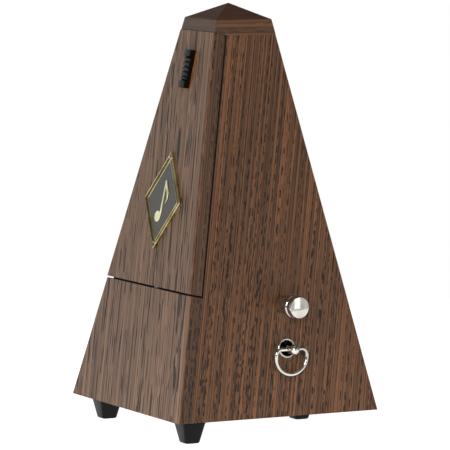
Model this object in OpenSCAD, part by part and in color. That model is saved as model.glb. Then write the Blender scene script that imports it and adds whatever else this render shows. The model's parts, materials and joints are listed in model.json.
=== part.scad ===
/* [Body] */
// Width of the square body at its foot
base_w = 117; // [100:1:141]
// Width of the body at the eave of the roof
eave_w = 33; // [31:1:40]
// Height of the eave above the underside of the body
eave_z = 200; // [190:1:240]
// Height of the roof's point above the eave
roof_rise = 8; // [5:0.5:12]
// Height of the roof block's side faces
cap_band = 7.8; // [6.5:0.1:12]
// Thickness of the side and rear walls
wall_t = 6; // [5:0.5:7.5]
// Thickness of the two front panels
front_t = 3; // [2.5:0.1:3.6]
// Thickness of the base board
board_t = 8; // [6:0.5:9.6]

/* [Cover] */
// Depth of the cover's edge strips, front panel included
cover_d = 7; // [7:0.1:8.4]
// Width of the cover's edge strips
rail_w = 3; // [2:0.5:3.5]
// Height of the seam under the cover
seam_z = 63; // [60:0.5:70]
// Width of the seam under the cover
seam_gap = 0.9; // [0.5:0.1:1.5]
// How far the cover stands in front of the roof block
cover_proud = 0.4; // [0:0.1:0.8]
// Gap between the cover and the roof block
cap_gap = 0.3; // [0.2:0.1:0.6]

/* [Badge] */
// Width of the lozenge badge
badge_w = 37.4; // [28:0.2:42]
// Length of the lozenge badge, up the slope
badge_l = 51; // [40:0.5:60]
// Height of the badge's centre
badge_z = 106.7; // [95:0.5:120]
// Width of the badge's gilt border
badge_edge = 2.8; // [1.5:0.1:4]
// Thickness of the badge's dark field
badge_t = 0.8; // [0.5:0.1:1.5]

/* [Catch] */
// Length of the catch's grip
grip_l = 19.9; // [15:0.1:22]
// Width of the catch's grip
grip_w = 6.5; // [5:0.1:8]
// How far the grip stands out
grip_t = 3.7; // [3:0.1:5]
// Distance from the cover's top edge down to the grip
grip_drop = 10; // [8:0.5:14]
// Travel of the catch
catch_travel = 4; // [3:0.5:4.5]

/* [Feet] */
// Height of a foot
foot_h = 12; // [9:0.5:16]
// Side of a square foot at its widest
foot_w = 12.8; // [11:0.1:13]
// Side of a foot at its sole
sole_w = 8.6; // [7.5:0.1:11]
// Distance from the front feet to the sides of the body
foot_side = 13.5; // [12:0.5:20]
// Distance from the front feet to the front of the body
foot_front = 13.6; // [13:0.1:20]
// Distance from the rear foot to the back of the body
foot_rear = 12.5; // [12:0.5:20]

/* [Winding key] */
// Distance of the key behind the body's front edge
key_back = 66.1; // [64:0.1:68]
// Height of the key
key_z = 34.1; // [33:0.1:36]
// Radius of the key's shank
shank_r = 2.2; // [2:0.1:2.6]
// Radius of the key's ball end
ball_r = 2.65; // [2.5:0.05:3.2]
// Distance from the wall to the ring's hole in the key
ring_reach = 5; // [5:0.1:7]
// Width of the folding ring, to its wire's centre
ring_w = 18; // [15:0.5:20]
// Height of the folding ring, to its wire's centre
ring_h = 13; // [12:0.5:13.5]
// Thickness of the ring's wire
wire_d = 2; // [1.2:0.1:2.1]

/* [Bell pull] */
// Distance of the pull behind the body's front edge
pull_back = 65.5; // [64:0.1:68]
// Height of the pull
pull_z = 56.3; // [55:0.1:57]
// Radius of the knob's head
knob_r = 5.8; // [5:0.1:6.4]
// Thickness of the knob's head
knob_t = 4; // [3:0.1:5]
// Distance from the wall to the knob's face
knob_reach = 18.5; // [15:0.5:22]
// Spacing of the pull's stops, one for each cam
cam_step = 3; // [2.4:0.1:3]

/* [Pendulum] */
// Distance of the pivot up the front face
pivot_h = 54.1; // [53:0.1:56]
// Width of the pendulum rod
rod_w = 4; // [3:0.1:5]
// Thickness of the pendulum rod
rod_t = 1.2; // [1:0.1:1.4]
// Distance from the rod's tip to the cover's top edge
rod_drop = 8.5; // [8:0.1:11]
// Distance from the pivot down to the bob's centre
bob_drop = 29; // [26:0.5:30]
// Width of the bob
bob_w = 34; // [26:0.5:36]
// Height of the bob
bob_h = 20; // [16:0.5:21]
// Thickness of the bob
bob_t = 9.5; // [7:0.5:11]
// Width of the sliding weight at its foot
weight_w = 20; // [16:0.5:21]
// Height of the sliding weight
weight_h = 16; // [12:0.5:18]

/* [Movement] */
// Distance between the frame plates, to their middles
plate_gap = 44; // [42:0.5:46]
// Thickness of a frame plate
plate_t = 1.5; // [1.2:0.1:2]
// Height of the frame plates' top
plate_z = 64; // [63:0.5:66]
// Distance from the front face to the escape wheel's axis
escape_d = 26.7; // [26:0.1:28]
// Radius of the escape wheel's ring of teeth
escape_r = 8; // [7:0.1:8.4]
// Number of teeth on the great wheel
great_teeth = 48; // [44:1:50]
// Number of teeth on the second wheel
second_teeth = 42; // [40:1:44]
// Number of teeth on the bell drive wheel
bell_teeth = 36; // [34:1:38]
// Number of leaves on the second and escape pinions
leaves = 12; // [12:1:13]
// Number of leaves on the cam pinion
cam_leaves = 14; // [14:1:15]
// Radius of the gong
gong_r = 17; // [14:0.5:18]

/* [Hidden] */

oak = "#5f4330";
black = "#262727";
nickel = "#c9c7bd";
gilt = "#c9a24c";
brass = "#b58d45";
steel = "#8b8d90";

$fn = 48;
big = 500;
eps = 0.01;
// Clearances: a running fit, a fixed fit, and a moving gap
run = 0.05;
seat = 0.02;
gap = 0.3;

half_w = base_w / 2;
lean = atan((base_w - eave_w) / 2 / eave_z);
pitch = atan(roof_rise / (eave_w / 2));
cap_z = eave_z - cap_band;
slope = cos(lean);
sink = sin(lean);

// A place behind the front face, h up the slope and d into the body
function front_y(h, d) = -half_w + h * sink + d * slope;
function front_z(h, d) = h * slope - d * sink;
// The outer face of the right wall at height z
function wall_x(z) = half_w - z * tan(lean);
// The point at ra from a and rb from b, on the left of the line from a to b
function meet(a, ra, b, rb) =
    let (u = (b - a) / norm(b - a))
    let (t = (ra * ra - rb * rb + norm(b - a) * norm(b - a)) / (2 * norm(b - a)))
    a + t * u + sqrt(ra * ra - t * t) * [-u[1], u[0]];
function bearing(a, b) = atan2(b[1] - a[1], b[0] - a[0]);

seam_h = seam_z / slope;
lower_top_h = seam_h - seam_gap / 2;
cover_low_h = seam_h + seam_gap / 2;
cover_top_h = (cap_z - cap_gap + cover_d * sink) / slope;
cap_low_h = cover_top_h + cap_gap;

rod_top_h = cover_top_h - rod_drop;
catch_front = front_t + 0.2;
catch_t = 0.65;
weight_front = catch_front + catch_t + 0.2;
weight_back = max(cover_d - 0.4, weight_front + 2.5);
rod_d = (weight_front + weight_back) / 2;
dial_front = weight_back + 1;
dial_t = 4;
dial_low_h = pivot_h + 7.5;

board_mid = [0, half_w];
foot_pocket = 1;
foot_screw_r = 1.5;
feet = [[-(half_w - foot_side), -(half_w - foot_front)],
    [half_w - foot_side, -(half_w - foot_front)], [0, half_w - foot_rear]];

// Gear modules of the three pairs
great_mod = 0.7;
second_mod = 0.6;
bell_mod = 0.5;

key_at = [key_back - half_w, key_z];
pull_at = [pull_back - half_w, pull_z];
escape_at = [front_y(pivot_h, escape_d), front_z(pivot_h, escape_d)];
second_at = meet(key_at, (great_teeth + leaves) / 2 * great_mod,
    escape_at, (second_teeth + leaves) / 2 * second_mod);
cam_angle = 30;
cam_at = escape_at + (bell_teeth + cam_leaves) / 2 * bell_mod * [cos(cam_angle), sin(cam_angle)];
hammer_at = cam_at + [9.4, 6.4];
gong_at = key_at + [6.4, -6.1];
click_at = key_at + 14 * [cos(20), sin(20)];

plate_in = plate_gap / 2 - plate_t / 2;
plate_out = plate_gap / 2 + plate_t / 2;
arbor_r = 1.5;
pivot_r = 1;
barrel_r = 15.5;
pillar_r = 2.5;
screw_r = 1.5;
head_r = 2.8;
head_t = 1.6;
pillars = [[29 - half_w, 14], [27.5 - half_w, key_z + 4], [79 - half_w, 14],
    [79 - half_w, plate_z - 7]];
flange_w = 8;
base_screws = [35 - half_w, 79 - half_w];

// Cam drum: a plain ring and four cams, seen by a tail that stays in its place
tail_x = 4;
cam_count = 5;
drum_r = 2.8;
lobe_r = 3.65;
drum_x0 = tail_x + cam_step / 2 - cam_count * cam_step;
drum_x1 = tail_x + cam_step / 2;
groove_r = 2;
fork_t = 1.2;
fork_x = drum_x1 + 0.15;
lobes = [6, 4, 3, 2, 0];

ratchet_r = 8;
ratchet_teeth = 20;
ratchet_x = plate_out + 0.9;
ratchet_t = 1.8;
sleeve_r = 3.2;
rod_r = 1.5;
ring_x = wall_x(key_z) + ring_reach;

staff_r = 1;
teeth_x = -1.8;
escape_count = 15;

// ---- Places ----

// Stands a child on one of the four outer faces, with its x along the foot and its y up the slope
module on_face(turn) {
    rotate([0, 0, turn]) translate([0, -half_w, 0]) rotate([90 - lean, 0, 0]) children();
}

// Everything deeper than depth behind one outer face
module behind(turn, depth) {
    on_face(turn) translate([-big / 2, -big / 2, -big - depth]) cube(big);
}

// A block on the front face, from depth d0 to d1 and from h0 to h1 up the slope
module front_block(half, h0, h1, d0, d1) {
    on_face(0) translate([-half, h0, -d1]) cube([2 * half, h1 - h0, d1 - d0]);
}

// An outline on the front face, from depth d0 to d1
module front_shape(d0, d1) {
    on_face(0) translate([0, 0, -d1]) linear_extrude(d1 - d0) children();
}

// A child drawn in the upright plane across X, standing at x
module along_x(at, x) {
    translate([x, at[0], at[1]]) rotate([90, 0, 90]) children();
}

module body_form(top) {
    intersection() {
        intersection_for (turn = [0, 90, 180, 270]) behind(turn, 0);
        translate([-big / 2, -big / 2, 0]) cube([big, big, top]);
    }
}

// The space in front of the walls that the cover fills
module cover_space() {
    front_block(big / 2, lower_top_h, big, -1, cover_d);
}

// Where a line along X at height z meets the right wall, at depth d
function wall_h(z, d) = (z + d * sink) / slope;

module wall_hole(at, d, r) {
    on_face(90) translate([at[0], wall_h(at[1], d), -wall_t - 1]) cylinder(r = r, h = wall_t + 2);
}

// ---- Body ----

module side_panel() {
    difference() {
        intersection() {
            body_form(cap_z);
            behind(0, front_t);
        }
        behind(90, wall_t);
        cover_space();
    }
}

module left_side_panel() color(oak) mirror([1, 0, 0]) side_panel();

eyelet_hole_r = 4.4;
bush_hole_r = 3;
module right_side_panel() color(oak) {
    difference() {
        side_panel();
        wall_hole(key_at, 0, eyelet_hole_r);
        wall_hole(pull_at, wall_t / 2, bush_hole_r);
    }
}

module rear_panel() color(oak) {
    difference() {
        intersection() {
            body_form(cap_z);
            behind(90, wall_t);
            behind(270, wall_t);
        }
        behind(180, wall_t);
    }
}

module lower_front_panel() color(oak) {
    intersection() {
        body_form(cap_z);
        front_block(big / 2, -big / 2, lower_top_h, -1, front_t);
    }
}

module base_board() color(oak) {
    difference() {
        intersection() {
            body_form(board_t);
            behind(0, front_t);
            behind(90, wall_t);
            behind(180, wall_t);
            behind(270, wall_t);
        }
        for (at = feet) translate([at[0], at[1], -1]) {
            cylinder(r = foot_w * 0.7 + gap, h = foot_pocket + 1);
            cylinder(r = foot_screw_r + seat, h = board_t);
        }
        for (side = [-1, 1]) for (at = base_screws)
            translate([side * (plate_out + flange_w / 2), at, board_t - 5]) cylinder(r = screw_r + seat, h = 6);
    }
}

module dial_board() color(black) {
    intersection() {
        body_form(cap_z);
        behind(90, wall_t);
        behind(270, wall_t);
        front_block(big / 2, dial_low_h, big, dial_front, dial_front + dial_t);
    }
}

module roof_slope(turn) {
    rotate([0, 0, turn]) translate([0, -eave_w / 2, eave_z]) rotate([pitch, 0, 0])
        translate([-big / 2, -big / 2, -big]) cube(big);
}

module roof_cap() color(oak) {
    difference() {
        intersection() {
            intersection_for (turn = [0, 90, 180, 270]) behind(turn, 0);
            intersection_for (turn = [0, 90, 180, 270]) roof_slope(turn);
            translate([-big / 2, -big / 2, cap_z]) cube(big);
        }
        front_block(big / 2, -big / 2, cap_low_h, -1, cover_d);
    }
}

// ---- Feet ----

foot_boss_r = min(5.2, foot_rear - wall_t - gap);
foot_bore = 5;
foot_lip = 1.2;
foot_round = 2;
module foot_slice(h, w) {
    translate([0, 0, h]) linear_extrude(0.01) offset(r = foot_round, $fn = 16)
        square(w - 2 * foot_round, center = true);
}

module foot(at) {
    translate([at[0], at[1], 0]) difference() {
        union() {
            hull() {
                foot_slice(-foot_h, sole_w);
                foot_slice(-foot_lip, foot_w);
                foot_slice(-0.01, foot_w - foot_lip);
            }
            translate([0, 0, -1]) cylinder(r = foot_boss_r, h = 1 + foot_pocket);
        }
        translate([0, 0, -foot_h - 1]) cylinder(r = foot_screw_r + seat, h = foot_h + 3);
        translate([0, 0, -foot_h - 1]) cylinder(r = head_r + gap, h = foot_bore + 1);
    }
}

module front_left_foot() color(black) foot(feet[0]);
module front_right_foot() color(black) foot(feet[1]);
module rear_foot() color(black) foot(feet[2]);

module foot_screws() color(steel) {
    for (at = feet) translate([at[0], at[1], foot_bore - foot_h]) {
        translate([0, 0, -head_t]) cylinder(r = head_r, h = head_t);
        cylinder(r = foot_screw_r, h = foot_h - foot_bore + board_t - 2);
    }
}

// ---- Dial ----

scale_low_h = 70;
scale_top_h = rod_top_h - 8;
module tempo_scale() color("#e9e4d2") {
    front_shape(dial_front - 0.6, dial_front)
        polygon([[-12, scale_low_h], [12, scale_low_h], [9, scale_top_h], [-9, scale_top_h]]);
}

clip_w = 8;
module pendulum_clip() color(steel) {
    clip_h = rod_top_h - 4;
    difference() {
        front_block(clip_w / 2, clip_h - 3, clip_h + 2.5, rod_d + rod_t / 2 + 0.25, dial_front);
        front_block(rod_w / 2 - 0.6, clip_h - 4, clip_h + 4, rod_d, rod_d + rod_t / 2 + 0.6);
    }
}

// ---- Side fittings ----

module key_eyelet() color(nickel) {
    on_face(90) translate([key_at[0], wall_h(key_at[1], 0), 0]) difference() {
        union() {
            translate([0, 0, eps]) cylinder(r = 5.25, h = 0.7);
            translate([0, 0, -wall_t]) cylinder(r = eyelet_hole_r - seat, h = wall_t + 0.2);
        }
        translate([0, 0, -wall_t - 1]) cylinder(r = 3.85, h = wall_t + 3);
    }
}

module pull_rod_bush() color(nickel) {
    on_face(90) translate([pull_at[0], wall_h(pull_at[1], wall_t / 2), 0]) difference() {
        translate([0, 0, -wall_t]) cylinder(r = bush_hole_r - seat, h = wall_t);
        translate([0, 0, -wall_t - 1]) cylinder(r = 2.5, h = wall_t + 3);
    }
}

// ---- Movement frame ----

module plate_outline() {
    front = -half_w;
    back = 83;
    polygon([[front + 24.5, board_t], [front + back, board_t], [front + back, plate_z],
        [front + 42.5, plate_z], [front + 36.5, front_z(pivot_h + 5, 6)],
        [front_y(pivot_h + 5, 7.6), front_z(pivot_h + 5, 7.6)],
        [front_y(pivot_h - 6, 7.6), front_z(pivot_h - 6, 7.6)],
        [front + 24.5, front_z(pivot_h - 6, 7.6) - 3]]);
}

// Holes that both plates share: pillars, hammer arbor, pull rod
module shared_holes() {
    for (at = pillars) translate(at) circle(screw_r + seat);
    translate(hammer_at) circle(pivot_r + run);
    translate(pull_at) circle(rod_r + run);
    translate(cam_at) circle(pivot_r + run);
    translate(second_at) circle(pivot_r + run);
}

module flange(x) {
    difference() {
        translate([x, 30 - half_w, board_t]) cube([flange_w + plate_t, 53, plate_t]);
        for (at = base_screws)
            translate([plate_out + flange_w / 2, at, board_t - 1]) cylinder(r = screw_r + seat, h = plate_t + 2);
    }
}

module left_frame_plate() color(brass) {
    union() {
        along_x([0, 0], -plate_out) linear_extrude(plate_t) difference() {
            plate_outline();
            shared_holes();
            translate(key_at) circle(arbor_r + run);
            translate(escape_at) circle(pivot_r + run);
            translate(gong_at) circle(screw_r + seat);
        }
        mirror([1, 0, 0]) flange(plate_in);
    }
}

module right_frame_plate() color(brass) {
    union() {
        along_x([0, 0], plate_in) linear_extrude(plate_t) difference() {
            plate_outline();
            shared_holes();
            translate(key_at) circle(bearing_r + run);
            translate(click_at) circle(screw_r + seat);
        }
        flange(plate_in);
    }
}
bearing_r = 2.5;

module frame_pillars() color(steel) {
    for (at = pillars) along_x(at, -plate_in) difference() {
        cylinder(r = pillar_r, h = 2 * plate_in);
        translate([0, 0, -1]) cylinder(r = screw_r + seat, h = 7);
        translate([0, 0, 2 * plate_in - 6]) cylinder(r = screw_r + seat, h = 7);
    }
}

click_t = 1.8;
module movement_screws() color(steel) {
    for (side = [0, 1]) mirror([side, 0, 0]) {
        for (at = pillars) {
            along_x(at, plate_in - 5) cylinder(r = screw_r, h = 5 + plate_t);
            along_x(at, plate_out) cylinder(r = head_r, h = head_t);
        }
        for (at = base_screws) translate([plate_out + flange_w / 2, at, board_t - 4]) {
            cylinder(r = screw_r, h = 4 + plate_t);
            translate([0, 0, 4 + plate_t]) cylinder(r = head_r, h = head_t);
        }
    }
    along_x(click_at, plate_in - 0.5) cylinder(r = screw_r, h = plate_t + 3.4);
    along_x(click_at, plate_in - 0.5 + plate_t + 3.4) cylinder(r = head_r, h = 1.2);
}

bridge_d = 8;
bridge_t = 2;
module front_bridge() color(brass) {
    difference() {
        front_block(plate_in, pivot_h - 5, pivot_h + 4, bridge_d, bridge_d + bridge_t);
        on_face(0) translate([0, pivot_h, -bridge_d - bridge_t - 1]) cylinder(r = staff_r + run, h = bridge_t + 2);
    }
}

rear_bridge_d = escape_d + escape_r + 1.6;
module rear_bridge() color(brass) {
    difference() {
        on_face(0) translate([-5, pivot_h - 4, -rear_bridge_d - bridge_t]) cube([plate_in + 5, 6.8, bridge_t]);
        on_face(0) translate([0, pivot_h, -rear_bridge_d - bridge_t - 1]) cylinder(r = staff_r + run, h = bridge_t + 2);
        along_x(key_at, wheel_x - gap) cylinder(r = (great_teeth / 2 + 1) * great_mod + gap, h = wheel_t + 2 * gap);
    }
}

cock_x = -11.6;
cock_t = 1.2;
module escape_cock() color(brass) {
    difference() {
        translate([cock_x, escape_at[0] - 4, board_t]) cube([cock_t, 8, escape_at[1] + 5 - board_t]);
        along_x(escape_at, cock_x - 1) cylinder(r = pivot_r + run, h = cock_t + 2);
    }
}

// ---- Bell ----

gong_x = plate_out + 2.8;
gong_d = 8.7;
gong_t = 1.2;
module bell_gong() color(nickel) {
    mirror([1, 0, 0]) along_x(gong_at, gong_x) difference() {
        cylinder(r = gong_r, h = gong_d);
        translate([0, 0, -1]) cylinder(r = gong_r - gong_t, h = gong_d - gong_t + 1);
        cylinder(r = 2 + seat, h = gong_d + 1);
    }
}

module bell_post() color(steel) {
    mirror([1, 0, 0]) {
        along_x(gong_at, plate_in) cylinder(r = screw_r, h = plate_t);
        along_x(gong_at, plate_out) cylinder(r = 3, h = gong_x + gong_d - gong_t - plate_out);
        along_x(gong_at, gong_x + gong_d - gong_t) cylinder(r = 2, h = gong_t);
        along_x(gong_at, gong_x + gong_d) cylinder(r = 3.4, h = 1.8, $fn = 6);
    }
}

hammer_x = gong_x + 0.5;
hammer_t = 1.5;
head_len = 5;
module bell_hammer() color(brass) {
    knock = [gong_at[0] - gong_r - 0.5 - head_len / 2, gong_at[1]];
    reach = norm(knock - hammer_at);
    along_x(hammer_at, -hammer_x - hammer_t) cylinder(r = pivot_r, h = hammer_x + hammer_t + plate_out + 0.5);
    along_x(hammer_at, -hammer_x - hammer_t) difference() {
        union() {
            cylinder(r = 2.4, h = hammer_t);
            rotate(bearing(hammer_at, knock)) translate([0, -1, 0]) cube([reach, 2, hammer_t]);
        }
        translate([0, 0, -1]) cylinder(r = pivot_r, h = hammer_t + 2);
    }
    translate([-hammer_x - hammer_t / 2, knock[0] - head_len / 2, knock[1]]) rotate([-90, 0, 0])
        cylinder(r = 2.4, h = head_len);
    along_x(hammer_at, tail_x - 0.8) difference() {
        union() {
            cylinder(r = 2, h = 1.6);
            translate([cam_at[0] - hammer_at[0] - 1.5, cam_at[1] + lobe_r + 0.4 - hammer_at[1], 0])
                cube([hammer_at[0] - cam_at[0] + 1.5, 1.2, 1.6]);
        }
        translate([0, 0, -1]) cylinder(r = pivot_r, h = 4);
    }
}

module pull_rod() color(steel) {
    along_x(pull_at, -plate_out - 14) cylinder(r = rod_r, h = plate_out + 14 + wall_x(pull_z) + 2);
    along_x([0, 0], fork_x) linear_extrude(fork_t) difference() {
        union() {
            translate(pull_at) circle(2.6);
            translate(cam_at) circle(4.6);
            translate([cam_at[0], cam_at[1] - 1.4]) square([pull_at[0] - cam_at[0], 3.2]);
        }
        translate(pull_at) circle(rod_r);
        translate(cam_at) circle(groove_r + gap);
        translate([cam_at[0] - 10, cam_at[1] - groove_r - gap]) square([10, 2 * (groove_r + gap)]);
    }
}

knob_x0 = wall_x(pull_z - 3.5) + 0.35;
knob_x1 = wall_x(pull_z) + knob_reach;
collar_r = 4.3;
module pull_knob() color(nickel) {
    len = knob_x1 - knob_x0;
    neck_r = knob_r - 1;
    head = len - knob_t;
    along_x(pull_at, knob_x0) rotate_extrude() polygon([
        [rod_r + seat, 0], [collar_r - 0.3, 0], [collar_r, 0.3], [knob_r, head - 1.4],
        [knob_r, head - 1], [knob_r - 0.4, head - 0.6], [neck_r, head - 0.6], [neck_r, head],
        [knob_r - 0.4, head], [knob_r, head + 0.4], [knob_r, len - 1], [knob_r - 0.35, len - 0.55],
        [knob_r * 0.6, len - 0.12], [0, len], [0, 2.4], [rod_r + seat, 2.4]]);
}

// ---- Cover ----

module cover_panel() color("#715e50") {
    difference() {
        intersection() {
            behind(90, 0);
            behind(270, 0);
            front_block(big / 2, cover_low_h, cover_top_h, -cover_proud, front_t);
        }
        front_block(stem_w / 2 + gap, grip_h0 + 2.5, grip_h0 + grip_l - 2, -1, front_t + 1);
        for (side = [-1, 1]) on_face(0)
            translate([0, badge_h + side * (badge_l / 2 - 3.4), -pin_l]) cylinder(r = pin_r + seat, h = 4);
    }
}

module cover_rail() {
    difference() {
        intersection() {
            behind(90, 0);
            front_block(big / 2, cover_low_h, cover_top_h, front_t, cover_d);
        }
        behind(90, rail_w);
    }
}

module cover_right_rail() color(oak) cover_rail();
module cover_left_rail() color(oak) mirror([1, 0, 0]) cover_rail();

badge_h = badge_z / slope;
badge_base = cover_proud;
pin_r = 0.45;
pin_l = 2;
module lozenge(inset) {
    a = badge_w / 2;
    b = badge_l / 2;
    shrink = 1 - inset * norm([a, b]) / (a * b);
    polygon([[-a * shrink, badge_h], [0, badge_h - b * shrink], [a * shrink, badge_h], [0, badge_h + b * shrink]]);
}

module pin_holes() {
    for (side = [-1, 1]) translate([0, badge_h + side * (badge_l / 2 - 3.4)]) circle(pin_r + seat);
}

module badge_plate() color("#3a3836") {
    front_shape(-badge_base - badge_t, -badge_base) difference() {
        lozenge(badge_edge / 2);
        pin_holes();
    }
}

module badge_frame() color(gilt) {
    front_shape(-badge_base - badge_t - 0.7, -badge_base - badge_t) difference() {
        lozenge(0);
        lozenge(badge_edge);
        pin_holes();
    }
    front_shape(-badge_base - badge_t, -badge_base) difference() {
        lozenge(0);
        lozenge(badge_edge / 2);
    }
}

// A plain quaver: a round head, a stem and a flag
module badge_motif() color(gilt) {
    top = badge_h + 10.5;
    front_shape(-badge_base - badge_t - 0.4, -badge_base - badge_t) {
        translate([-1.9, badge_h - 8.6]) circle(2.9);
        translate([-0.1, badge_h - 8.6]) square([1.1, top - badge_h + 8.6]);
        polygon([[1, top], [1, top - 3.4], [3.2, top - 6.2], [4.1, top - 9.6], [3.2, top - 12.4],
            [5.1, top - 9.4], [4.6, top - 5.6], [2.6, top - 2.8]]);
    }
}

module badge_pins() color(gilt) {
    for (side = [-1, 1]) on_face(0) translate([0, badge_h + side * (badge_l / 2 - 3.4), -pin_l])
        cylinder(r = pin_r, h = pin_l + badge_base + badge_t + 1);
}

// ---- Catch ----

grip_h1 = cover_top_h - grip_drop;
grip_h0 = grip_h1 - grip_l;
stem_w = 3;
plate_low_h = grip_h0 + 4;
ridges = 5;
module catch_grip() color(black) {
    end_l = grip_l * 0.18;
    pitch_l = (grip_l - 2 * end_l) / ridges;
    front_block(grip_w / 2, grip_h0, grip_h0 + end_l, -grip_t, -cover_proud - 0.15);
    front_block(grip_w / 2, grip_h1 - end_l, grip_h1, -grip_t, -cover_proud - 0.15);
    on_face(0) translate([grip_w / 2, 0, 0]) rotate([0, -90, 0]) linear_extrude(grip_w)
        polygon(concat([[cover_proud + 0.15, grip_h0 + end_l]],
            [for (i = [0:ridges - 1]) for (p = [[grip_t - 1.4, 0], [grip_t - 0.5, 0.35], [grip_t - 0.5, 0.65]])
                [p[0], grip_h0 + end_l + (i + p[1]) * pitch_l]],
            [[grip_t - 1.4, grip_h1 - end_l], [cover_proud + 0.15, grip_h1 - end_l]]));
    front_block(stem_w / 2, grip_h0 + 3 + catch_travel, grip_h1 - 3, -cover_proud - 0.15, catch_front);
}

hook_h = rod_top_h + catch_travel + 0.4;
module catch_plate() color(steel) {
    front_block(4, plate_low_h, hook_h + 1, catch_front, catch_front + catch_t);
    front_block(3, hook_h, hook_h + 1, catch_front + catch_t, catch_front + 1.9);
    front_block(3, hook_h + 1, cover_top_h - 0.7, catch_front + 1.1, catch_front + 1.9);
}

keeper_t = 0.5;
module catch_keeper() color(steel) {
    front_block(5, cap_low_h - keeper_t, cap_low_h, catch_front, cover_d - 0.3);
    front_block(5, hook_h + 1.6, cap_low_h - keeper_t, catch_front, catch_front + 0.6);
}

// A flat serpentine spring under the catch
module catch_spring() color(steel) {
    turns = 6;
    room = 8;
    wire = 0.4;
    step = (room - wire) / turns;
    low = plate_low_h - room;
    front_shape(catch_front, catch_front + catch_t) {
        for (i = [0:turns]) translate([-2, low + i * step]) square([4, wire]);
        for (i = [0:turns - 1]) translate([i % 2 == 0 ? -2 : 2 - wire, low + i * step]) square([wire, step + wire]);
    }
}

// ---- Pendulum ----

module pendulum_rod() color(steel) {
    difference() {
        front_block(rod_w / 2, pivot_h - bob_drop - 6, rod_top_h, rod_d - rod_t / 2, rod_d + rod_t / 2);
        on_face(0) translate([0, pivot_h, -rod_d - 2]) cylinder(r = staff_r + seat, h = 4);
    }
}

module verge_staff() color(steel) {
    on_face(0) translate([0, pivot_h, -rear_bridge_d - bridge_t - 0.4])
        cylinder(r = staff_r, h = rear_bridge_d + bridge_t + 0.4 - rod_d + rod_t / 2);
    on_face(0) translate([0, pivot_h, -bridge_d + 0.4]) difference() {
        cylinder(r = 3, h = bridge_d - 0.4 - rod_d - rod_t / 2);
        translate([0, 0, -1]) cylinder(r = staff_r, h = bridge_d);
    }
}

pallet_t = 0.8;
pallet_l = 3;
module pallets() color(steel) {
    for (side = [-1, 1]) on_face(0) translate([0, pivot_h, -escape_d + side * escape_r - 1.2]) difference() {
        union() {
            cylinder(r = staff_r + 0.3, h = 2.4);
            rotate(180 - side * 68) translate([0, -pallet_t / 2, 0]) cube([pallet_l, pallet_t, 2.4]);
        }
        translate([0, 0, -1]) cylinder(r = staff_r + seat, h = 5);
    }
}

module pendulum_bob() color(steel) {
    back = rod_d + rod_t / 2;
    low = pivot_h - bob_drop - bob_h / 2;
    on_face(0) translate([0, low, -back - bob_t]) linear_extrude(bob_t)
        polygon([[-bob_w / 2 + 3, 0], [bob_w / 2 - 3, 0], [bob_w / 2, 3], [bob_w / 2, bob_h - 3],
            [bob_w / 2 - 3, bob_h], [-bob_w / 2 + 3, bob_h], [-bob_w / 2, bob_h - 3], [-bob_w / 2, 3]]);
}

weight_rest_h = pivot_h + 62;
module tempo_weight() color(brass) {
    top_w = weight_w * 0.8;
    difference() {
        front_shape(weight_front, weight_back) translate([0, weight_rest_h])
            polygon([[-weight_w / 2, 0], [weight_w / 2, 0], [top_w / 2, weight_h], [-top_w / 2, weight_h]]);
        front_block(rod_w / 2 + run, weight_rest_h - 1, weight_rest_h + weight_h + 1,
            rod_d - rod_t / 2 - run, rod_d + rod_t / 2 + run);
        front_block(1.4, weight_rest_h + 3, weight_rest_h + weight_h - 3, rod_d, rod_d + rod_t / 2 + 0.5);
    }
}

module weight_spring() color(steel) {
    front_block(1.3, weight_rest_h + 3.1, weight_rest_h + weight_h - 3.1,
        rod_d + rod_t / 2 + 0.12, rod_d + rod_t / 2 + 0.45);
}

// ---- Winding ----

arbor_end = wall_x(key_z) - wall_t - 2;
sleeve_x = arbor_end - 8;
module winding_arbor() color(steel) {
    along_x(key_at, -plate_out - 0.7) cylinder(r = arbor_r, h = plate_t + 1.2);
    along_x(key_at, -plate_in + 0.5) cylinder(r = bearing_r, h = plate_in - 0.5 + ratchet_x + ratchet_t);
    along_x(key_at, ratchet_x + ratchet_t) cylinder(r = 2, h = sleeve_x - ratchet_x - ratchet_t);
    along_x(key_at, sleeve_x) cylinder(r = arbor_r, h = 7.5);
}

module ratchet_wheel() color(steel) {
    along_x(key_at, ratchet_x) linear_extrude(ratchet_t) difference() {
        polygon([for (i = [0:ratchet_teeth - 1]) for (p = [[ratchet_r, 0], [ratchet_r - 1.1, 0.12]])
            p[0] * [cos((i + p[1]) * 360 / ratchet_teeth), sin((i + p[1]) * 360 / ratchet_teeth)]]);
        circle(bearing_r + seat);
    }
}

module winding_key() color(nickel) {
    neck = ring_x + ball_r * 1.04;
    difference() {
        union() {
            along_x(key_at, sleeve_x) cylinder(r = sleeve_r, h = arbor_end - sleeve_x);
            along_x(key_at, arbor_end) cylinder(r = shank_r, h = neck - arbor_end);
            translate([neck, key_at[0], key_at[1]]) sphere(r = ball_r);
        }
        along_x(key_at, sleeve_x - 1) cylinder(r = arbor_r + seat, h = 9);
        translate([ring_x, key_at[0] + 5, key_at[1]]) rotate([90, 0, 0]) cylinder(r = wire_d / 2 + 0.1, h = 10);
    }
}

module key_ring() color(nickel) {
    corner = 3;
    wire = wire_d / 2;
    half = ring_w / 2;
    drop = ring_h - half;
    along_x(key_at, ring_x) {
        translate([-half + corner, 0, 0]) rotate([0, 90, 0]) cylinder(r = wire, h = ring_w - 2 * corner);
        for (side = [0, 1]) mirror([side, 0, 0]) {
            translate([half - corner, -corner, 0]) rotate_extrude(angle = 90) translate([corner, 0]) circle(wire);
            translate([half, -drop, 0]) rotate([-90, 0, 0]) cylinder(r = wire, h = drop - corner);
        }
        translate([0, -drop, 0]) rotate([0, 0, 180]) rotate_extrude(angle = 180) translate([half, 0]) circle(wire);
    }
}

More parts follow.
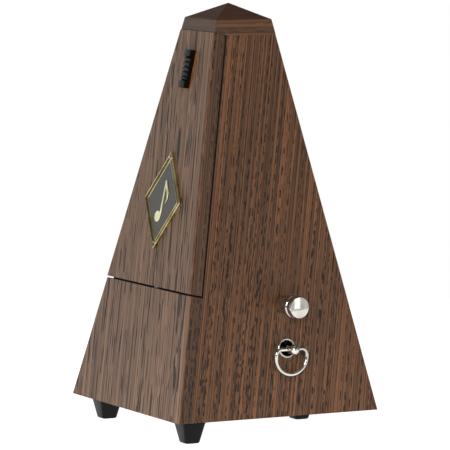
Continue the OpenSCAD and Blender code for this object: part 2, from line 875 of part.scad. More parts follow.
module click() color(steel) {
    tip = key_at + (ratchet_r + 0.5) * [cos(58), sin(58)];
    away = tip - click_at;
    along_x(click_at, ratchet_x) difference() {
        union() {
            cylinder(r = 2.8, h = click_t);
            linear_extrude(click_t) polygon([[-1.8, 2], [-1.8, -1.2], away, away + [-0.4, 1.6]]);
        }
        translate([0, 0, -1]) cylinder(r = screw_r + run, h = click_t + 2);
    }
}

module click_spring() color(steel) {
    foot = click_at + [-1, 10];
    along_x([0, 0], plate_out) linear_extrude(3) translate(foot) square([3, 3]);
    along_x([0, 0], ratchet_x) linear_extrude(click_t)
        polygon([foot, foot + [0, 0.5], click_at + [-6.6, 4.1], click_at + [-6.4, 3.4]]);
}

// ---- Wheels ----

function involute(base, r) = let (a = acos(min(1, base / r))) tan(a) * 180 / PI - a;

// One gear outline with short involute teeth and a little play
module gear(teeth, mod, bore, phase) {
    rp = teeth * mod / 2;
    base = rp * cos(20);
    root = rp - 1.2 * mod;
    tip = rp + 0.8 * mod;
    half = (PI / 2 - 0.22) / teeth * 180 / PI + involute(base, rp);
    radii = [max(base, root), rp - 0.2 * mod, rp + 0.3 * mod, tip];
    flank = [for (r = radii) [r, half - involute(base, r)]];
    low = [root, half];
    turn = 360 / teeth;
    points = concat([[low[0], -low[1]]], [for (p = flank) [p[0], -p[1]]],
        [for (i = [3:-1:0]) flank[i]], [low]);
    difference() {
        polygon([for (i = [0:teeth - 1]) for (p = points)
            p[0] * [cos(phase + i * turn + p[1]), sin(phase + i * turn + p[1])]]);
        circle(bore);
    }
}

wheel_x = 8;
wheel_t = 2;
barrel_x = -9;
module barrel() color(brass) {
    along_x(key_at, barrel_x) difference() {
        cylinder(r = barrel_r, h = wheel_x - barrel_x);
        translate([0, 0, 1.2]) cylinder(r = barrel_r - 1, h = wheel_x - barrel_x);
        translate([0, 0, -1]) cylinder(r = bearing_r + run, h = 4);
    }
}

module great_wheel() color(brass) {
    along_x(key_at, wheel_x) linear_extrude(wheel_t)
        gear(great_teeth, great_mod, bearing_r + run, bearing(key_at, second_at));
}

// The wound spring, a flat spiral between the arbor and the barrel's wall
module mainspring() color("#5d6066") {
    turns = 7;
    r0 = bearing_r + 1;
    r1 = barrel_r - 1.3;
    steps = turns * 20;
    strip = 0.35;
    along_x(key_at, barrel_x + 1.7) linear_extrude(wheel_x - barrel_x - 2.4) polygon(concat(
        [for (i = [0:steps]) (r0 + (r1 - strip - r0) * i / steps) * [cos(i * 18), sin(i * 18)]],
        [for (i = [steps:-1:0]) (r0 + strip + (r1 - strip - r0) * i / steps) * [cos(i * 18), sin(i * 18)]]));
}

second_x = -18.4;
thin_t = 1.4;
module second_arbor() color(steel) {
    along_x(second_at, -plate_out) cylinder(r = pivot_r, h = plate_t + 0.4);
    along_x(second_at, -plate_in + 0.4) cylinder(r = arbor_r, h = 2 * plate_in - 0.8);
    along_x(second_at, plate_in - 0.4) cylinder(r = pivot_r, h = plate_t + 0.4);
    along_x(second_at, wheel_x - 0.5) linear_extrude(wheel_t + 1)
        gear(leaves, great_mod, arbor_r, bearing(key_at, second_at) + 180 + 180 / leaves);
}

module second_wheel() color(brass) {
    along_x(second_at, second_x) linear_extrude(thin_t)
        gear(second_teeth, second_mod, arbor_r + seat, bearing(second_at, escape_at));
}

bell_x = -14.4;
module escape_arbor() color(steel) {
    along_x(escape_at, -plate_out) cylinder(r = pivot_r, h = plate_t + 0.4);
    along_x(escape_at, -plate_in + 0.4) cylinder(r = arbor_r, h = plate_in - 0.4 + cock_x - 0.2);
    along_x(escape_at, cock_x - 0.2) cylinder(r = pivot_r, h = -cock_x + 0.2 - 5.2);
    along_x(escape_at, second_x - 0.5) linear_extrude(thin_t + 1)
        gear(leaves, second_mod, arbor_r, bearing(second_at, escape_at) + 180 + 180 / leaves);
}

// A crown of saw teeth that points at the verge staff
module escape_wheel() color(brass) {
    floor_x = -7.2;
    rim_x = teeth_x - 2.6;
    along_x(escape_at, floor_x) difference() {
        cylinder(r = escape_r + 0.4, h = rim_x - floor_x);
        translate([0, 0, 1]) cylinder(r = escape_r - 0.4, h = rim_x - floor_x);
        translate([0, 0, -1]) cylinder(r = pivot_r + seat, h = 4);
    }
    for (i = [0:escape_count - 1]) along_x(escape_at, rim_x) rotate(i * 360 / escape_count)
        translate([escape_r, 0, 0]) rotate([90, 0, 90]) translate([0, 0, -0.35]) linear_extrude(0.7)
            polygon([[-1.3, 0], [1.3, 0], [1.3, 2.6], [0.9, 2.6]]);
}

module bell_drive_wheel() color(brass) {
    along_x(escape_at, bell_x) linear_extrude(thin_t)
        gear(bell_teeth, bell_mod, arbor_r + seat, bearing(escape_at, cam_at));
}

module cam_arbor() color(steel) {
    along_x(cam_at, -plate_out) cylinder(r = pivot_r, h = 2 * plate_out);
    along_x(cam_at, bell_x - 0.4) linear_extrude(thin_t + 0.8)
        gear(cam_leaves, bell_mod, pivot_r, bearing(escape_at, cam_at) + 180 + 180 / cam_leaves);
}

module cam_drum() color(brass) {
    along_x(cam_at, drum_x0) difference() {
        union() {
            for (k = [0:cam_count - 1]) translate([0, 0, k * cam_step]) {
                cylinder(r = drum_r, h = cam_step);
                if (lobes[k] > 0) for (i = [0:lobes[k] - 1]) rotate(i * 360 / lobes[k])
                    translate([0, -0.6, 0.4]) cube([lobe_r, 1.2, cam_step - 0.8]);
            }
            translate([0, 0, cam_count * cam_step]) cylinder(r = groove_r, h = fork_t + 0.3);
            translate([0, 0, cam_count * cam_step + fork_t + 0.3]) cylinder(r = drum_r, h = 1.2);
        }
        translate([0, 0, -1]) cylinder(r = pivot_r + run, h = big / 10);
    }
}

base_board();
left_side_panel();
right_side_panel();
rear_panel();
lower_front_panel();
dial_board();
roof_cap();
front_left_foot();
front_right_foot();
rear_foot();
foot_screws();
tempo_scale();
pendulum_clip();
catch_keeper();
key_eyelet();
pull_rod_bush();
left_frame_plate();
right_frame_plate();
frame_pillars();
movement_screws();
front_bridge();
rear_bridge();
escape_cock();
click_spring();
bell_gong();
bell_post();
cover_panel();
cover_left_rail();
cover_right_rail();
badge_plate();
badge_frame();
badge_motif();
badge_pins();
catch_grip();
catch_plate();
catch_spring();
pendulum_rod();
verge_staff();
pallets();
pendulum_bob();
tempo_weight();
weight_spring();
winding_arbor();
ratchet_wheel();
winding_key();
key_ring();
click();
barrel();
great_wheel();
mainspring();
second_arbor();
second_wheel();
escape_arbor();
escape_wheel();
bell_drive_wheel();
cam_arbor();
cam_drum();
bell_hammer();
pull_rod();
pull_knob();
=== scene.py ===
import json
import math
import random

import bmesh
import bpy
from mathutils import Matrix, Vector


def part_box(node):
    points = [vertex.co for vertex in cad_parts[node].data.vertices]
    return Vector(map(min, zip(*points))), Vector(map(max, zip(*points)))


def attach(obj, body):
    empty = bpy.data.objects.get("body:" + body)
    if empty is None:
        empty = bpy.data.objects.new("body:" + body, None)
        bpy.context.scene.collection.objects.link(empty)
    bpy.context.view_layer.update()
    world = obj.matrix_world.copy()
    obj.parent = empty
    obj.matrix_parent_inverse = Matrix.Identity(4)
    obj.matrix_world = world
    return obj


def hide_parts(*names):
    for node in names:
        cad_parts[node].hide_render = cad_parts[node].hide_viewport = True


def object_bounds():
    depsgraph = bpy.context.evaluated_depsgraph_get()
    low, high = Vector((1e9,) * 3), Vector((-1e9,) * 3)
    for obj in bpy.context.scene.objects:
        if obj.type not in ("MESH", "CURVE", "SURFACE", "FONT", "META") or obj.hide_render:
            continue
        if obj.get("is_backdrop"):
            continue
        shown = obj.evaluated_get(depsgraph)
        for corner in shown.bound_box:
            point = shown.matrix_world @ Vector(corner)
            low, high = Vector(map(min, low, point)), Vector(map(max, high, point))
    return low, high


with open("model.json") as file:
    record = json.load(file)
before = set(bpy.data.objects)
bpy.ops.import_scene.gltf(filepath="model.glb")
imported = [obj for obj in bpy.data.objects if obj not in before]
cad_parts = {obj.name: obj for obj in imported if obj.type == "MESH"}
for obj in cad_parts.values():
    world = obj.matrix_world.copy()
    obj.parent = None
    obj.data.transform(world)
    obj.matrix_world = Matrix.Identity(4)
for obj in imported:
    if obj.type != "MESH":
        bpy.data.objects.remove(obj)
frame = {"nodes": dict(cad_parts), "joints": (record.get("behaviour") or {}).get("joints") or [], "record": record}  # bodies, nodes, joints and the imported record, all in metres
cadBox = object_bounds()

mm = 0.001
weld = 1e-6  # points closer than this are one point
flatAngle = math.radians(0.3)  # faces turned less than this are one flat face
nodes = frame["nodes"]
print("frame loaded:", len(nodes), "nodes")

lift = next(j for j in frame["joints"] if j["name"] == "cover_lift_off")
outward = Vector(lift["axis"]).normalized()  # the front face's normal
slope = -outward.y
sink = outward.z
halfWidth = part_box("right_side_panel")[1].x
upSlope = Vector((0, sink, slope))


def faceMatrix(turn):  # x along the foot of a face, y up its slope, z out of it
    front = Matrix((
        (1, 0, 0, 0),
        (0, sink, -slope, -halfWidth),
        (0, slope, sink, 0),
        (0, 0, 0, 1),
    ))
    return Matrix.Rotation(math.radians(turn), 4, "Z") @ front


frontFace = faceMatrix(0)
keySide = faceMatrix(90)


def alongX(y, z):  # z of a lathed piece becomes world X, at this height and depth
    return Matrix.Translation((0, y, z)) @ Matrix.Rotation(math.radians(90), 4, "Y")


def middle(name):
    low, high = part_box(name)
    return (low + high) / 2


def toLinear(hexCode):
    parts = [int(hexCode[i:i + 2], 16) / 255 for i in (1, 3, 5)]
    return [p / 12.92 if p <= 0.04045 else ((p + 0.055) / 1.055) ** 2.4 for p in parts] + [1]


def addNode(tree, kind, settings=None, links=None):
    node = tree.nodes.new(kind)
    for name, value in (settings or {}).items():
        if isinstance(name, int) or name in node.inputs:
            node.inputs[name].default_value = value
        else:
            setattr(node, name, value)
    for name, source in (links or {}).items():
        tree.links.new(source, node.inputs[name])
    return node


def newMaterial(name, settings):
    material = bpy.data.materials.new(name)
    material.use_nodes = True
    tree = material.node_tree
    shader = tree.nodes["Principled BSDF"]
    for socket, value in settings.items():
        shader.inputs[socket].default_value = value
    return material, tree, shader


def toneOf(tree, value, stops):  # stops: places on the ramp and sRGB colours
    ramp = addNode(tree, "ShaderNodeValToRGB", links={"Fac": value})
    elements = ramp.color_ramp.elements
    while len(elements) < len(stops):
        elements.new(0.5)
    for element, (place, colour) in zip(elements, stops):
        element.position = place
        element.color = toLinear(colour)
    return ramp.outputs[0]


def noiseOf(tree, place, size, detail=2.0, roughness=0.5):
    # size is the width of one blotch in mm along each axis
    mapped = addNode(tree, "ShaderNodeMapping", {"Scale": [1 / (s * mm) for s in size]}, {"Vector": place})
    noise = addNode(tree, "ShaderNodeTexNoise", {
        "Scale": 1.0, "Detail": detail, "Roughness": roughness}, {"Vector": mapped.outputs[0]})
    return noise.outputs["Fac"]


def spread(tree, value, low, high, fromLow=0.3, fromHigh=0.7):
    node = addNode(tree, "ShaderNodeMapRange", {
        "From Min": fromLow, "From Max": fromHigh, "To Min": low, "To Max": high}, {"Value": value})
    return node.outputs[0]


def blendOf(tree, kind, amount, first, second):
    node = addNode(tree, "ShaderNodeMix", {"data_type": "RGBA", "blend_type": kind})
    for socket, value in ((0, amount), (6, first), (7, second)):
        if isinstance(value, bpy.types.NodeSocket):
            tree.links.new(value, node.inputs[socket])
        else:
            node.inputs[socket].default_value = value
    return node.outputs[2]


def bumpFrom(tree, shader, height, strength, depth):
    bump = addNode(tree, "ShaderNodeBump", {"Strength": strength, "Distance": depth * mm}, {"Height": height})
    tree.links.new(bump.outputs[0], shader.inputs["Normal"])


# Oak veneer, stained brown and given a satin varnish: open pores show as short dark streaks
# along the grain, over soft lighter and darker bands. It reads a UV map named grain, in
# metres, with u across the grain and v along it.
veneerLooks = {
    # front faces: paler and greyer than the side, partly a finer grain and partly painted sheen
    "frontOakVeneerPaintedSheen": {
        "light": "#96765e", "middle": "#785c49", "dark": "#5c4536", "pore": "#1e140e", "poreShare": 0.95,
        "roughness": 0.55, "vessels": (1.1, 400), "dash": (1.7, 18), "fibre": 0.75, "cut": 0.5},
    "sideOakVeneer": {
        "light": "#825638", "middle": "#604029", "dark": "#482f1d", "pore": "#150c07", "poreShare": 0.9,
        "roughness": 0.55, "vessels": (0.95, 400), "dash": (1.3, 5), "fibre": 0.8, "cut": 0.515},
    "stripOakVeneer": {
        "light": "#684933", "middle": "#523928", "dark": "#3f2c1f", "pore": "#170e09", "poreShare": 0.9,
        "roughness": 0.5, "vessels": (0.9, 400), "dash": (1.3, 4), "fibre": 0.9, "cut": 0.5},
    "bandOakVeneer": {
        "light": "#755034", "middle": "#62442d", "dark": "#523825", "pore": "#362216", "poreShare": 0.5,
        "roughness": 0.48, "vessels": (1.5, 400), "dash": (2.2, 10), "fibre": 0.9, "cut": 0.55},
    # front faces of the cap, in the case front's plane: their greyer colour is painted sheen, as on the case
    # front
    "capOakVeneerPaintedSheen": {
        "light": "#6c5546", "middle": "#5c4739", "dark": "#4c3a2f", "pore": "#32251e", "poreShare": 0.5,
        "roughness": 0.5, "vessels": (1.8, 400), "dash": (2.4, 12), "fibre": 1.0, "cut": 0.55},
    "roofOakVeneer": {
        "light": "#663c22", "middle": "#55311c", "dark": "#442717", "pore": "#28170e", "poreShare": 0.5,
        "roughness": 0.5, "vessels": (1.5, 400), "dash": (2.2, 10), "fibre": 0.9, "cut": 0.55},
}
# what every veneer shares, in mm: the slow wander of its grain and its bands of tone
grainLook = {"wander": (60, 240), "drift": 3, "bands": (9, 300), "bandDepth": 0.12, "fibreLength": 160,
             "tones": (0.36, 0.5, 0.66), "poreEdge": 0.04, "dashCut": 0.5}


def flatNoise(tree, place, size, detail, offset):  # across and along the grain, in mm
    mapped = addNode(tree, "ShaderNodeMapping", {
        "Scale": (1 / (size[0] * mm), 1 / (size[1] * mm), 1), "Location": offset}, {"Vector": place})
    noise = addNode(tree, "ShaderNodeTexNoise", {
        "noise_dimensions": "2D", "Scale": 1.0, "Detail": detail, "Roughness": 0.55},
        {"Vector": mapped.outputs[0]})
    return noise.outputs["Fac"]


def oakVeneer(name):
    look = veneerLooks[name]
    material, tree, shader = newMaterial(name, {"IOR": 1.45})
    place = addNode(tree, "ShaderNodeUVMap", {"uv_map": "grain"}).outputs[0]
    wander = flatNoise(tree, place, grainLook["wander"], 1.0, (0, 0, 0))
    drift = addNode(tree, "ShaderNodeVectorMath", {
        "operation": "MULTIPLY", 1: (grainLook["drift"] * mm, 0, 0)}, {0: wander})
    moved = addNode(tree, "ShaderNodeVectorMath", {"operation": "ADD"}, {0: place, 1: drift.outputs[0]})
    place = moved.outputs[0]
    bands = flatNoise(tree, place, grainLook["bands"], 2.0, (5, 5, 0))
    fibres = flatNoise(tree, place, (look["fibre"], grainLook["fibreLength"]), 3.0, (3, 1, 0))
    tones = [look[k] for k in ("dark", "middle", "light")]
    shades = toneOf(tree, fibres, list(zip(grainLook["tones"], tones)))
    swing = grainLook["bandDepth"]
    banded = blendOf(tree, "MULTIPLY", 1.0, shades, spread(tree, bands, 1 - swing, 1 + swing))
    vessels = spread(tree, flatNoise(tree, place, look["vessels"], 1.0, (7, 2, 0)), 0, 1,
                     look["cut"], look["cut"] + grainLook["poreEdge"])
    dashes = spread(tree, flatNoise(tree, place, look["dash"], 1.0, (2, 8, 0)), 0, 1,
                    grainLook["dashCut"], grainLook["dashCut"] + grainLook["poreEdge"])
    pores = addNode(tree, "ShaderNodeMath", {"operation": "MULTIPLY"}, {0: vessels, 1: dashes})
    share = addNode(tree, "ShaderNodeMath", {
        "operation": "MULTIPLY", 1: look["poreShare"]}, {0: pores.outputs[0]})
    colour = blendOf(tree, "MIX", share.outputs[0], banded, toLinear(look["pore"]))
    tree.links.new(colour, shader.inputs["Base Color"])
    rough = spread(tree, fibres, look["roughness"] - 0.05, look["roughness"] + 0.07)
    tree.links.new(rough, shader.inputs["Roughness"])
    height = addNode(tree, "ShaderNodeMath", {"operation": "SUBTRACT"}, {0: fibres, 1: pores.outputs[0]})
    bumpFrom(tree, shader, height.outputs[0], 0.3, 0.05)
    return material


# Lighter orange oak: thin orange lines on the rounded upright corners, and a brighter orange patch
# round the catch.
orangeOakLooks = {
    "orangeOakEdge": ("#54341f", "#774625", "#93592d"),
    "orangeOakPatch": ("#70401d", "#9a5622", "#b56c2f"),
}


def bareOak(name):
    material, tree, shader = newMaterial(name, {"IOR": 1.5})
    place = addNode(tree, "ShaderNodeUVMap", {"uv_map": "grain"}).outputs[0]
    orangeMottle = noiseOf(tree, place, (3, 9, 3), 3.0, 0.6)
    tone = toneOf(tree, orangeMottle, list(zip(grainLook["tones"], orangeOakLooks[name])))
    tree.links.new(tone, shader.inputs["Base Color"])
    tree.links.new(spread(tree, orangeMottle, 0.45, 0.6), shader.inputs["Roughness"])
    return material


# Board ends in the joints are painted black as painted shade, so that an open joint reads as a dark line.
def blackedEdge():
    material, tree, shader = newMaterial("blackJointPaintedShade", {"IOR": 1.45})
    place = addNode(tree, "ShaderNodeUVMap", {"uv_map": "grain"}).outputs[0]
    grain = flatNoise(tree, place, (0.6, 8), 2.0, (0, 0, 0))
    tone = toneOf(tree, grain, [(0.35, "#0c0907"), (0.7, "#1b130e")])
    tree.links.new(tone, shader.inputs["Base Color"])
    tree.links.new(spread(tree, grain, 0.75, 0.9), shader.inputs["Roughness"])
    bumpFrom(tree, shader, grain, 0.2, 0.05)
    return material


# Plywood inside the case, stained but not varnished: dull, with a faint straight grain.
def stainedPly():
    material, tree, shader = newMaterial("stainedPlywood", {"IOR": 1.5})
    place = addNode(tree, "ShaderNodeTexCoord").outputs["Object"]
    grain = noiseOf(tree, place, (1.6, 1.6, 45), 4.0, 0.6)
    tone = toneOf(tree, grain, [(0.34, "#3a2a1f"), (0.52, "#59422f"), (0.7, "#735843")])
    tree.links.new(tone, shader.inputs["Base Color"])
    tree.links.new(spread(tree, grain, 0.62, 0.78), shader.inputs["Roughness"])
    bumpFrom(tree, shader, grain, 0.3, 0.08)
    return material


# Black paint brushed on a board: even and satin, with a soft roll in its surface.
def blackPaint():
    material, tree, shader = newMaterial("satinBlackPaint", {"IOR": 1.5})
    place = addNode(tree, "ShaderNodeTexCoord").outputs["Object"]
    roll = noiseOf(tree, place, (1.2, 1.2, 14), 3.0)
    tone = toneOf(tree, roll, [(0.35, "#171513"), (0.7, "#24211e")])
    tree.links.new(tone, shader.inputs["Base Color"])
    tree.links.new(spread(tree, roll, 0.38, 0.5), shader.inputs["Roughness"])
    bumpFrom(tree, shader, roll, 0.2, 0.04)
    return material


# Moulded parts: ABS is satin with a fine spark-eroded grain, drawn at 0.35 mm so that it shows.
mouldedLooks = {
    "mouldedBlackAbs": {
        "dark": "#020202", "light": "#060606", "grain": 0.35, "roughness": 0.24, "gloss": 0.3},
    "mouldedBlackRubber": {
        "dark": "#060707", "light": "#0c0e0d", "grain": 0.5, "roughness": 0.3, "gloss": 0.2},
}


def moulded(name):
    look = mouldedLooks[name]
    material, tree, shader = newMaterial(name, {"IOR": 1.4, "Specular IOR Level": look["gloss"]})
    place = addNode(tree, "ShaderNodeTexCoord").outputs["Object"]
    grain = noiseOf(tree, place, (look["grain"],) * 3, 2.0)
    cloud = noiseOf(tree, place, (5, 5, 5), 2.0)
    tone = toneOf(tree, cloud, [(0.35, look["dark"]), (0.68, look["light"])])
    tree.links.new(tone, shader.inputs["Base Color"])
    rough = spread(tree, grain, look["roughness"] - 0.06, look["roughness"] + 0.08)
    tree.links.new(rough, shader.inputs["Roughness"])
    bumpFrom(tree, shader, grain, 0.25, 0.03)
    return material


# Metals. stroke is the size in mm of one mark of the finish along X, Y and Z: long marks
# are brushed or drawn, even ones are cast or tumbled, and polished plate has hardly any.
metalLooks = {
    "polishedNickelPlate": {
        "dark": "#b9b6ae", "light": "#dedbd4", "stroke": (3, 3, 3),
        "roughness": (0.06, 0.13), "depth": 0.004},
    "stampedGiltBrass": {
        "dark": "#a8975e", "light": "#dfd09a", "stroke": (0.5, 0.5, 0.5),
        "roughness": (0.22, 0.36), "depth": 0.02},
    "stampedPaleBrass": {
        "dark": "#ded9a6", "light": "#fbf8d0", "stroke": (0.5, 0.5, 0.5),
        "roughness": (0.3, 0.42), "depth": 0.02},
    "brushedBrassSheet": {
        "dark": "#957030", "light": "#c9a458", "stroke": (0.3, 9, 0.3),
        "roughness": (0.24, 0.4), "depth": 0.01},
    "brightDrawnSteel": {
        "dark": "#7e8184", "light": "#a9adb0", "stroke": (6, 0.4, 0.4),
        "roughness": (0.22, 0.36), "depth": 0.01},
    "bluedSpringSteel": {
        "dark": "#2b3140", "light": "#4c566b", "stroke": (0.4, 4, 4),
        "roughness": (0.25, 0.4), "depth": 0.01},
    "castLeadAlloy": {
        "dark": "#5a5c5e", "light": "#7f8183", "stroke": (1.2, 1.2, 1.2),
        "roughness": (0.45, 0.6), "depth": 0.06},
}


def metal(name):
    look = metalLooks[name]
    material, tree, shader = newMaterial(name, {"Metallic": 1.0})
    place = addNode(tree, "ShaderNodeTexCoord").outputs["Object"]
    marks = noiseOf(tree, place, look["stroke"], 3.0, 0.6)
    tarnish = noiseOf(tree, place, (9, 9, 9), 2.0)
    tone = toneOf(tree, tarnish, [(0.35, look["dark"]), (0.66, look["light"])])
    worn = blendOf(tree, "MULTIPLY", 0.35, tone, spread(tree, marks, 0.8, 1.15))
    tree.links.new(worn, shader.inputs["Base Color"])
    tree.links.new(spread(tree, marks, *look["roughness"]), shader.inputs["Roughness"])
    bumpFrom(tree, shader, marks, 0.2, look["depth"])
    return material


# Lacquered metal: the badge's field is smoky and shows fine upright scratches under the
# lacquer, and the dial plate is baked cream enamel, slightly uneven.
paintedLooks = {
    "smokyLacquer": {"dark": "#2f2d2c", "light": "#56524f", "stroke": (0.35, 0.35, 6), "roughness": 0.3},
    "creamEnamel": {"dark": "#d9d2ba", "light": "#ece6d3", "stroke": (7, 7, 7), "roughness": 0.32},
    "blackDialInk": {"dark": "#151413", "light": "#221f1d", "stroke": (1, 1, 1), "roughness": 0.5},
}


def painted(name):
    look = paintedLooks[name]
    material, tree, shader = newMaterial(name, {"IOR": 1.5})
    place = addNode(tree, "ShaderNodeTexCoord").outputs["Object"]
    marks = noiseOf(tree, place, look["stroke"], 3.0, 0.55)
    tone = toneOf(tree, marks, [(0.33, look["dark"]), (0.67, look["light"])])
    tree.links.new(tone, shader.inputs["Base Color"])
    rough = spread(tree, marks, look["roughness"], look["roughness"] + 0.12)
    tree.links.new(rough, shader.inputs["Roughness"])
    bumpFrom(tree, shader, marks, 0.12, 0.02)
    return material


finish = {name: oakVeneer(name) for name in veneerLooks}
finish.update({name: moulded(name) for name in mouldedLooks})
finish.update({name: metal(name) for name in metalLooks})
finish.update({name: painted(name) for name in paintedLooks})
finish.update({name: bareOak(name) for name in orangeOakLooks})
finish["blackJointPaintedShade"] = blackedEdge()
finish["stainedPlywood"] = stainedPly()
finish["satinBlackPaint"] = blackPaint()
print("materials made:", len(finish))


bodyOf = {n: body for body, members in frame["record"]["behaviour"]["bodies"].items() for n in members}


def cadShape(name):  # a welded copy of a node, with its flat faces whole again
    shape = bmesh.new()
    shape.from_mesh(nodes[name].data)
    bmesh.ops.remove_doubles(shape, verts=shape.verts, dist=weld)
    bmesh.ops.dissolve_limit(shape, angle_limit=flatAngle, verts=shape.verts, edges=shape.edges)
    return shape


def toMesh(shape, name):
    mesh = bpy.data.meshes.new(name)
    shape.to_mesh(mesh)
    shape.free()
    return mesh


def addPiece(name, shape, finishes, standsFor, smooth=None, body=None):
    mesh = toMesh(shape, name)
    if smooth:  # edges sharper than this, in degrees, stay sharp
        mesh.shade_smooth()
        mesh.set_sharp_from_angle(angle=math.radians(smooth))
    for finishName in finishes:
        if finishName not in [m.name for m in mesh.materials if m]:
            mesh.materials.append(finish[finishName])
    piece = bpy.data.objects.new(name, mesh)
    bpy.context.scene.collection.objects.link(piece)
    first = standsFor[0] if standsFor else None
    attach(piece, body or bodyOf[first])
    if standsFor:
        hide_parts(*standsFor)


def union(names):  # touching boards joined into one shape
    parts = []
    for name in names:
        part = bpy.data.objects.new("part", toMesh(cadShape(name), "part"))
        bpy.context.scene.collection.objects.link(part)
        parts.append(part)
    for other in parts[1:]:
        cut = parts[0].modifiers.new("join", "BOOLEAN")
        cut.operation = "UNION"
        cut.solver = "EXACT"
        cut.object = other
    bpy.context.view_layer.update()
    joined = bpy.data.meshes.new_from_object(parts[0].evaluated_get(bpy.context.evaluated_depsgraph_get()))
    shape = bmesh.new()
    shape.from_mesh(joined)
    bmesh.ops.remove_doubles(shape, verts=shape.verts, dist=weld)
    bmesh.ops.dissolve_limit(shape, angle_limit=flatAngle, verts=shape.verts, edges=shape.edges)
    for part in parts:
        bpy.data.objects.remove(part)
    return shape


# edges sharper than this, in degrees, are rounded; fine is the width on small parts, in mm
arris = {"sharper": 25, "profile": 0.6, "fine": 0.15}


def bevelEdges(shape, width, segments, keep, material=-1):
    edges = [e for e in shape.edges if len(e.link_faces) == 2 and e.is_convex
             and e.calc_face_angle() > math.radians(arris["sharper"]) and keep(e)]
    bmesh.ops.bevel(shape, geom=edges, offset=width * mm, segments=segments, profile=arris["profile"],
                    affect="EDGES", material=material, clamp_overlap=True)


def lathed(profile, steps, place):  # profile: distance along the axis and radius, in mm
    shape = bmesh.new()
    rings = []
    for along, radius in profile:
        if radius == 0:
            rings.append([shape.verts.new((0, 0, along * mm))])
            continue
        rings.append([shape.verts.new((radius * mm * math.cos(a), radius * mm * math.sin(a), along * mm))
                      for a in (2 * math.pi * i / steps for i in range(steps))])
    for lower, upper in zip(rings, rings[1:]):
        for i in range(steps):
            j = (i + 1) % steps
            if len(lower) == 1:
                shape.faces.new((lower[0], upper[j], upper[i]))
            elif len(upper) == 1:
                shape.faces.new((lower[i], lower[j], upper[0]))
            else:
                shape.faces.new((lower[i], lower[j], upper[j], upper[i]))
    if len(rings[0]) > 1 and len(rings[-1]) > 1 and profile[0] == profile[-1]:
        bmesh.ops.remove_doubles(shape, verts=shape.verts, dist=weld)
    bmesh.ops.transform(shape, matrix=place, verts=shape.verts)
    bmesh.ops.recalc_face_normals(shape, faces=shape.faces)
    return shape


def grown(points, edges, tree, values):  # a bare mesh grown by a node tree into a plain mesh
    seed = bpy.data.meshes.new("seed")
    seed.from_pydata(points, edges, [])
    holder = bpy.data.objects.new("seed", seed)
    bpy.context.scene.collection.objects.link(holder)
    modifier = holder.modifiers.new("grow", "NODES")
    modifier.node_group = tree
    for item in tree.interface.items_tree:
        if item.item_type == "SOCKET" and item.in_out == "INPUT" and item.name in values:
            modifier[item.identifier] = values[item.name]
    bpy.context.view_layer.update()
    mesh = bpy.data.meshes.new_from_object(holder.evaluated_get(bpy.context.evaluated_depsgraph_get()))
    holder.modifiers.remove(modifier)
    bpy.data.objects.remove(holder)
    return mesh


def newTree(name, inputs):
    tree = bpy.data.node_groups.new(name, "GeometryNodeTree")
    tree.interface.new_socket("Geometry", in_out="INPUT", socket_type="NodeSocketGeometry")
    for label, kind in inputs:
        tree.interface.new_socket(label, in_out="INPUT", socket_type="NodeSocket" + kind)
    tree.interface.new_socket("Geometry", in_out="OUTPUT", socket_type="NodeSocketGeometry")
    return tree, addNode(tree, "NodeGroupInput").outputs


def closeTree(tree, instances, material):
    real = addNode(tree, "GeometryNodeRealizeInstances", links={"Geometry": instances})
    coloured = addNode(tree, "GeometryNodeSetMaterial", links={
        "Geometry": real.outputs[0], "Material": material})
    addNode(tree, "NodeGroupOutput", links={"Geometry": coloured.outputs[0]})


# in mm: rounded arris, open joint behind the cover, how far the cover closes on the cap, thickest
# board, how near a face lies to a side of the pyramid and a joint's reach; the rest are ratios
case = {"edge": 0.5, "fineEdge": 0.2, "joint": 0.7, "close": 0.22, "thickest": 8.5, "near": 0.8, "reach": 0.1,
        "lean": sink, "facing": 0.995, "steep": 0.7, "level": 0.9}
roofLook = {"edge": 0.3, "clear": 1}  # rounded arris and how far above the foot it starts, in mm
boards = ["frontOakVeneerPaintedSheen", "sideOakVeneer", "orangeOakEdge", "stainedPlywood", "blackJointPaintedShade",
          "stripOakVeneer"]
strips = ["frontOakVeneerPaintedSheen", "stripOakVeneer", "orangeOakEdge", "stainedPlywood", "blackJointPaintedShade"]
boardSlot = {"front": 0, "side": 1, "edge": 2, "inside": 3, "end": 4, "strip": 5}  # places in both lists
roofSlot = {"front": 0, "side": 1, "slope": 2, "under": 3}
grainSeed = {"case": 11, "cover": 27, "roof": 35, "seam": 41, "catchPatch": 53}
outerFaces = [(turn, faceMatrix(turn)) for turn in (0, 90, 180, 270)]


def outerTurn(point, normal):  # which outer face of the pyramid a face lies on, if any
    for turn, place in outerFaces:
        out = place.to_3x3() @ Vector((0, 0, 1))
        if out.dot(normal) > case["facing"] and abs((place.inverted() @ point).z) < case["near"] * mm:
            return turn
    return None


def layGrain(shape, seed, pick):  # writes the grain map; pick gives each face its grain direction
    layer = shape.loops.layers.uv.new("grain")
    shift = random.Random(seed)
    shifts = {}
    for face in shape.faces:
        along = pick(face)
        along = (along - along.dot(face.normal) * face.normal).normalized()
        across = along.cross(face.normal)
        key = tuple(round(c, 1) for c in along) + tuple(round(c, 1) for c in across)
        if key not in shifts:
            shifts[key] = (shift.uniform(0, 2), shift.uniform(0, 2))
        for loop in face.loops:
            point = loop.vert.co
            loop[layer].uv = (point.dot(across) + shifts[key][0], point.dot(along) + shifts[key][1])


def wallGrain(face):  # follows the right front corner, and stands straight up at the back
    turn = outerTurn(face.calc_center_median(), face.normal)
    if abs(face.normal.x) > case["steep"]:
        return Vector((0, case["lean"], 1))
    if abs(face.normal.z) > case["level"]:
        return Vector((1, 0, 0))
    return Vector((-case["lean"], 0, 1)) if turn == 0 else Vector((0, 0, 1))


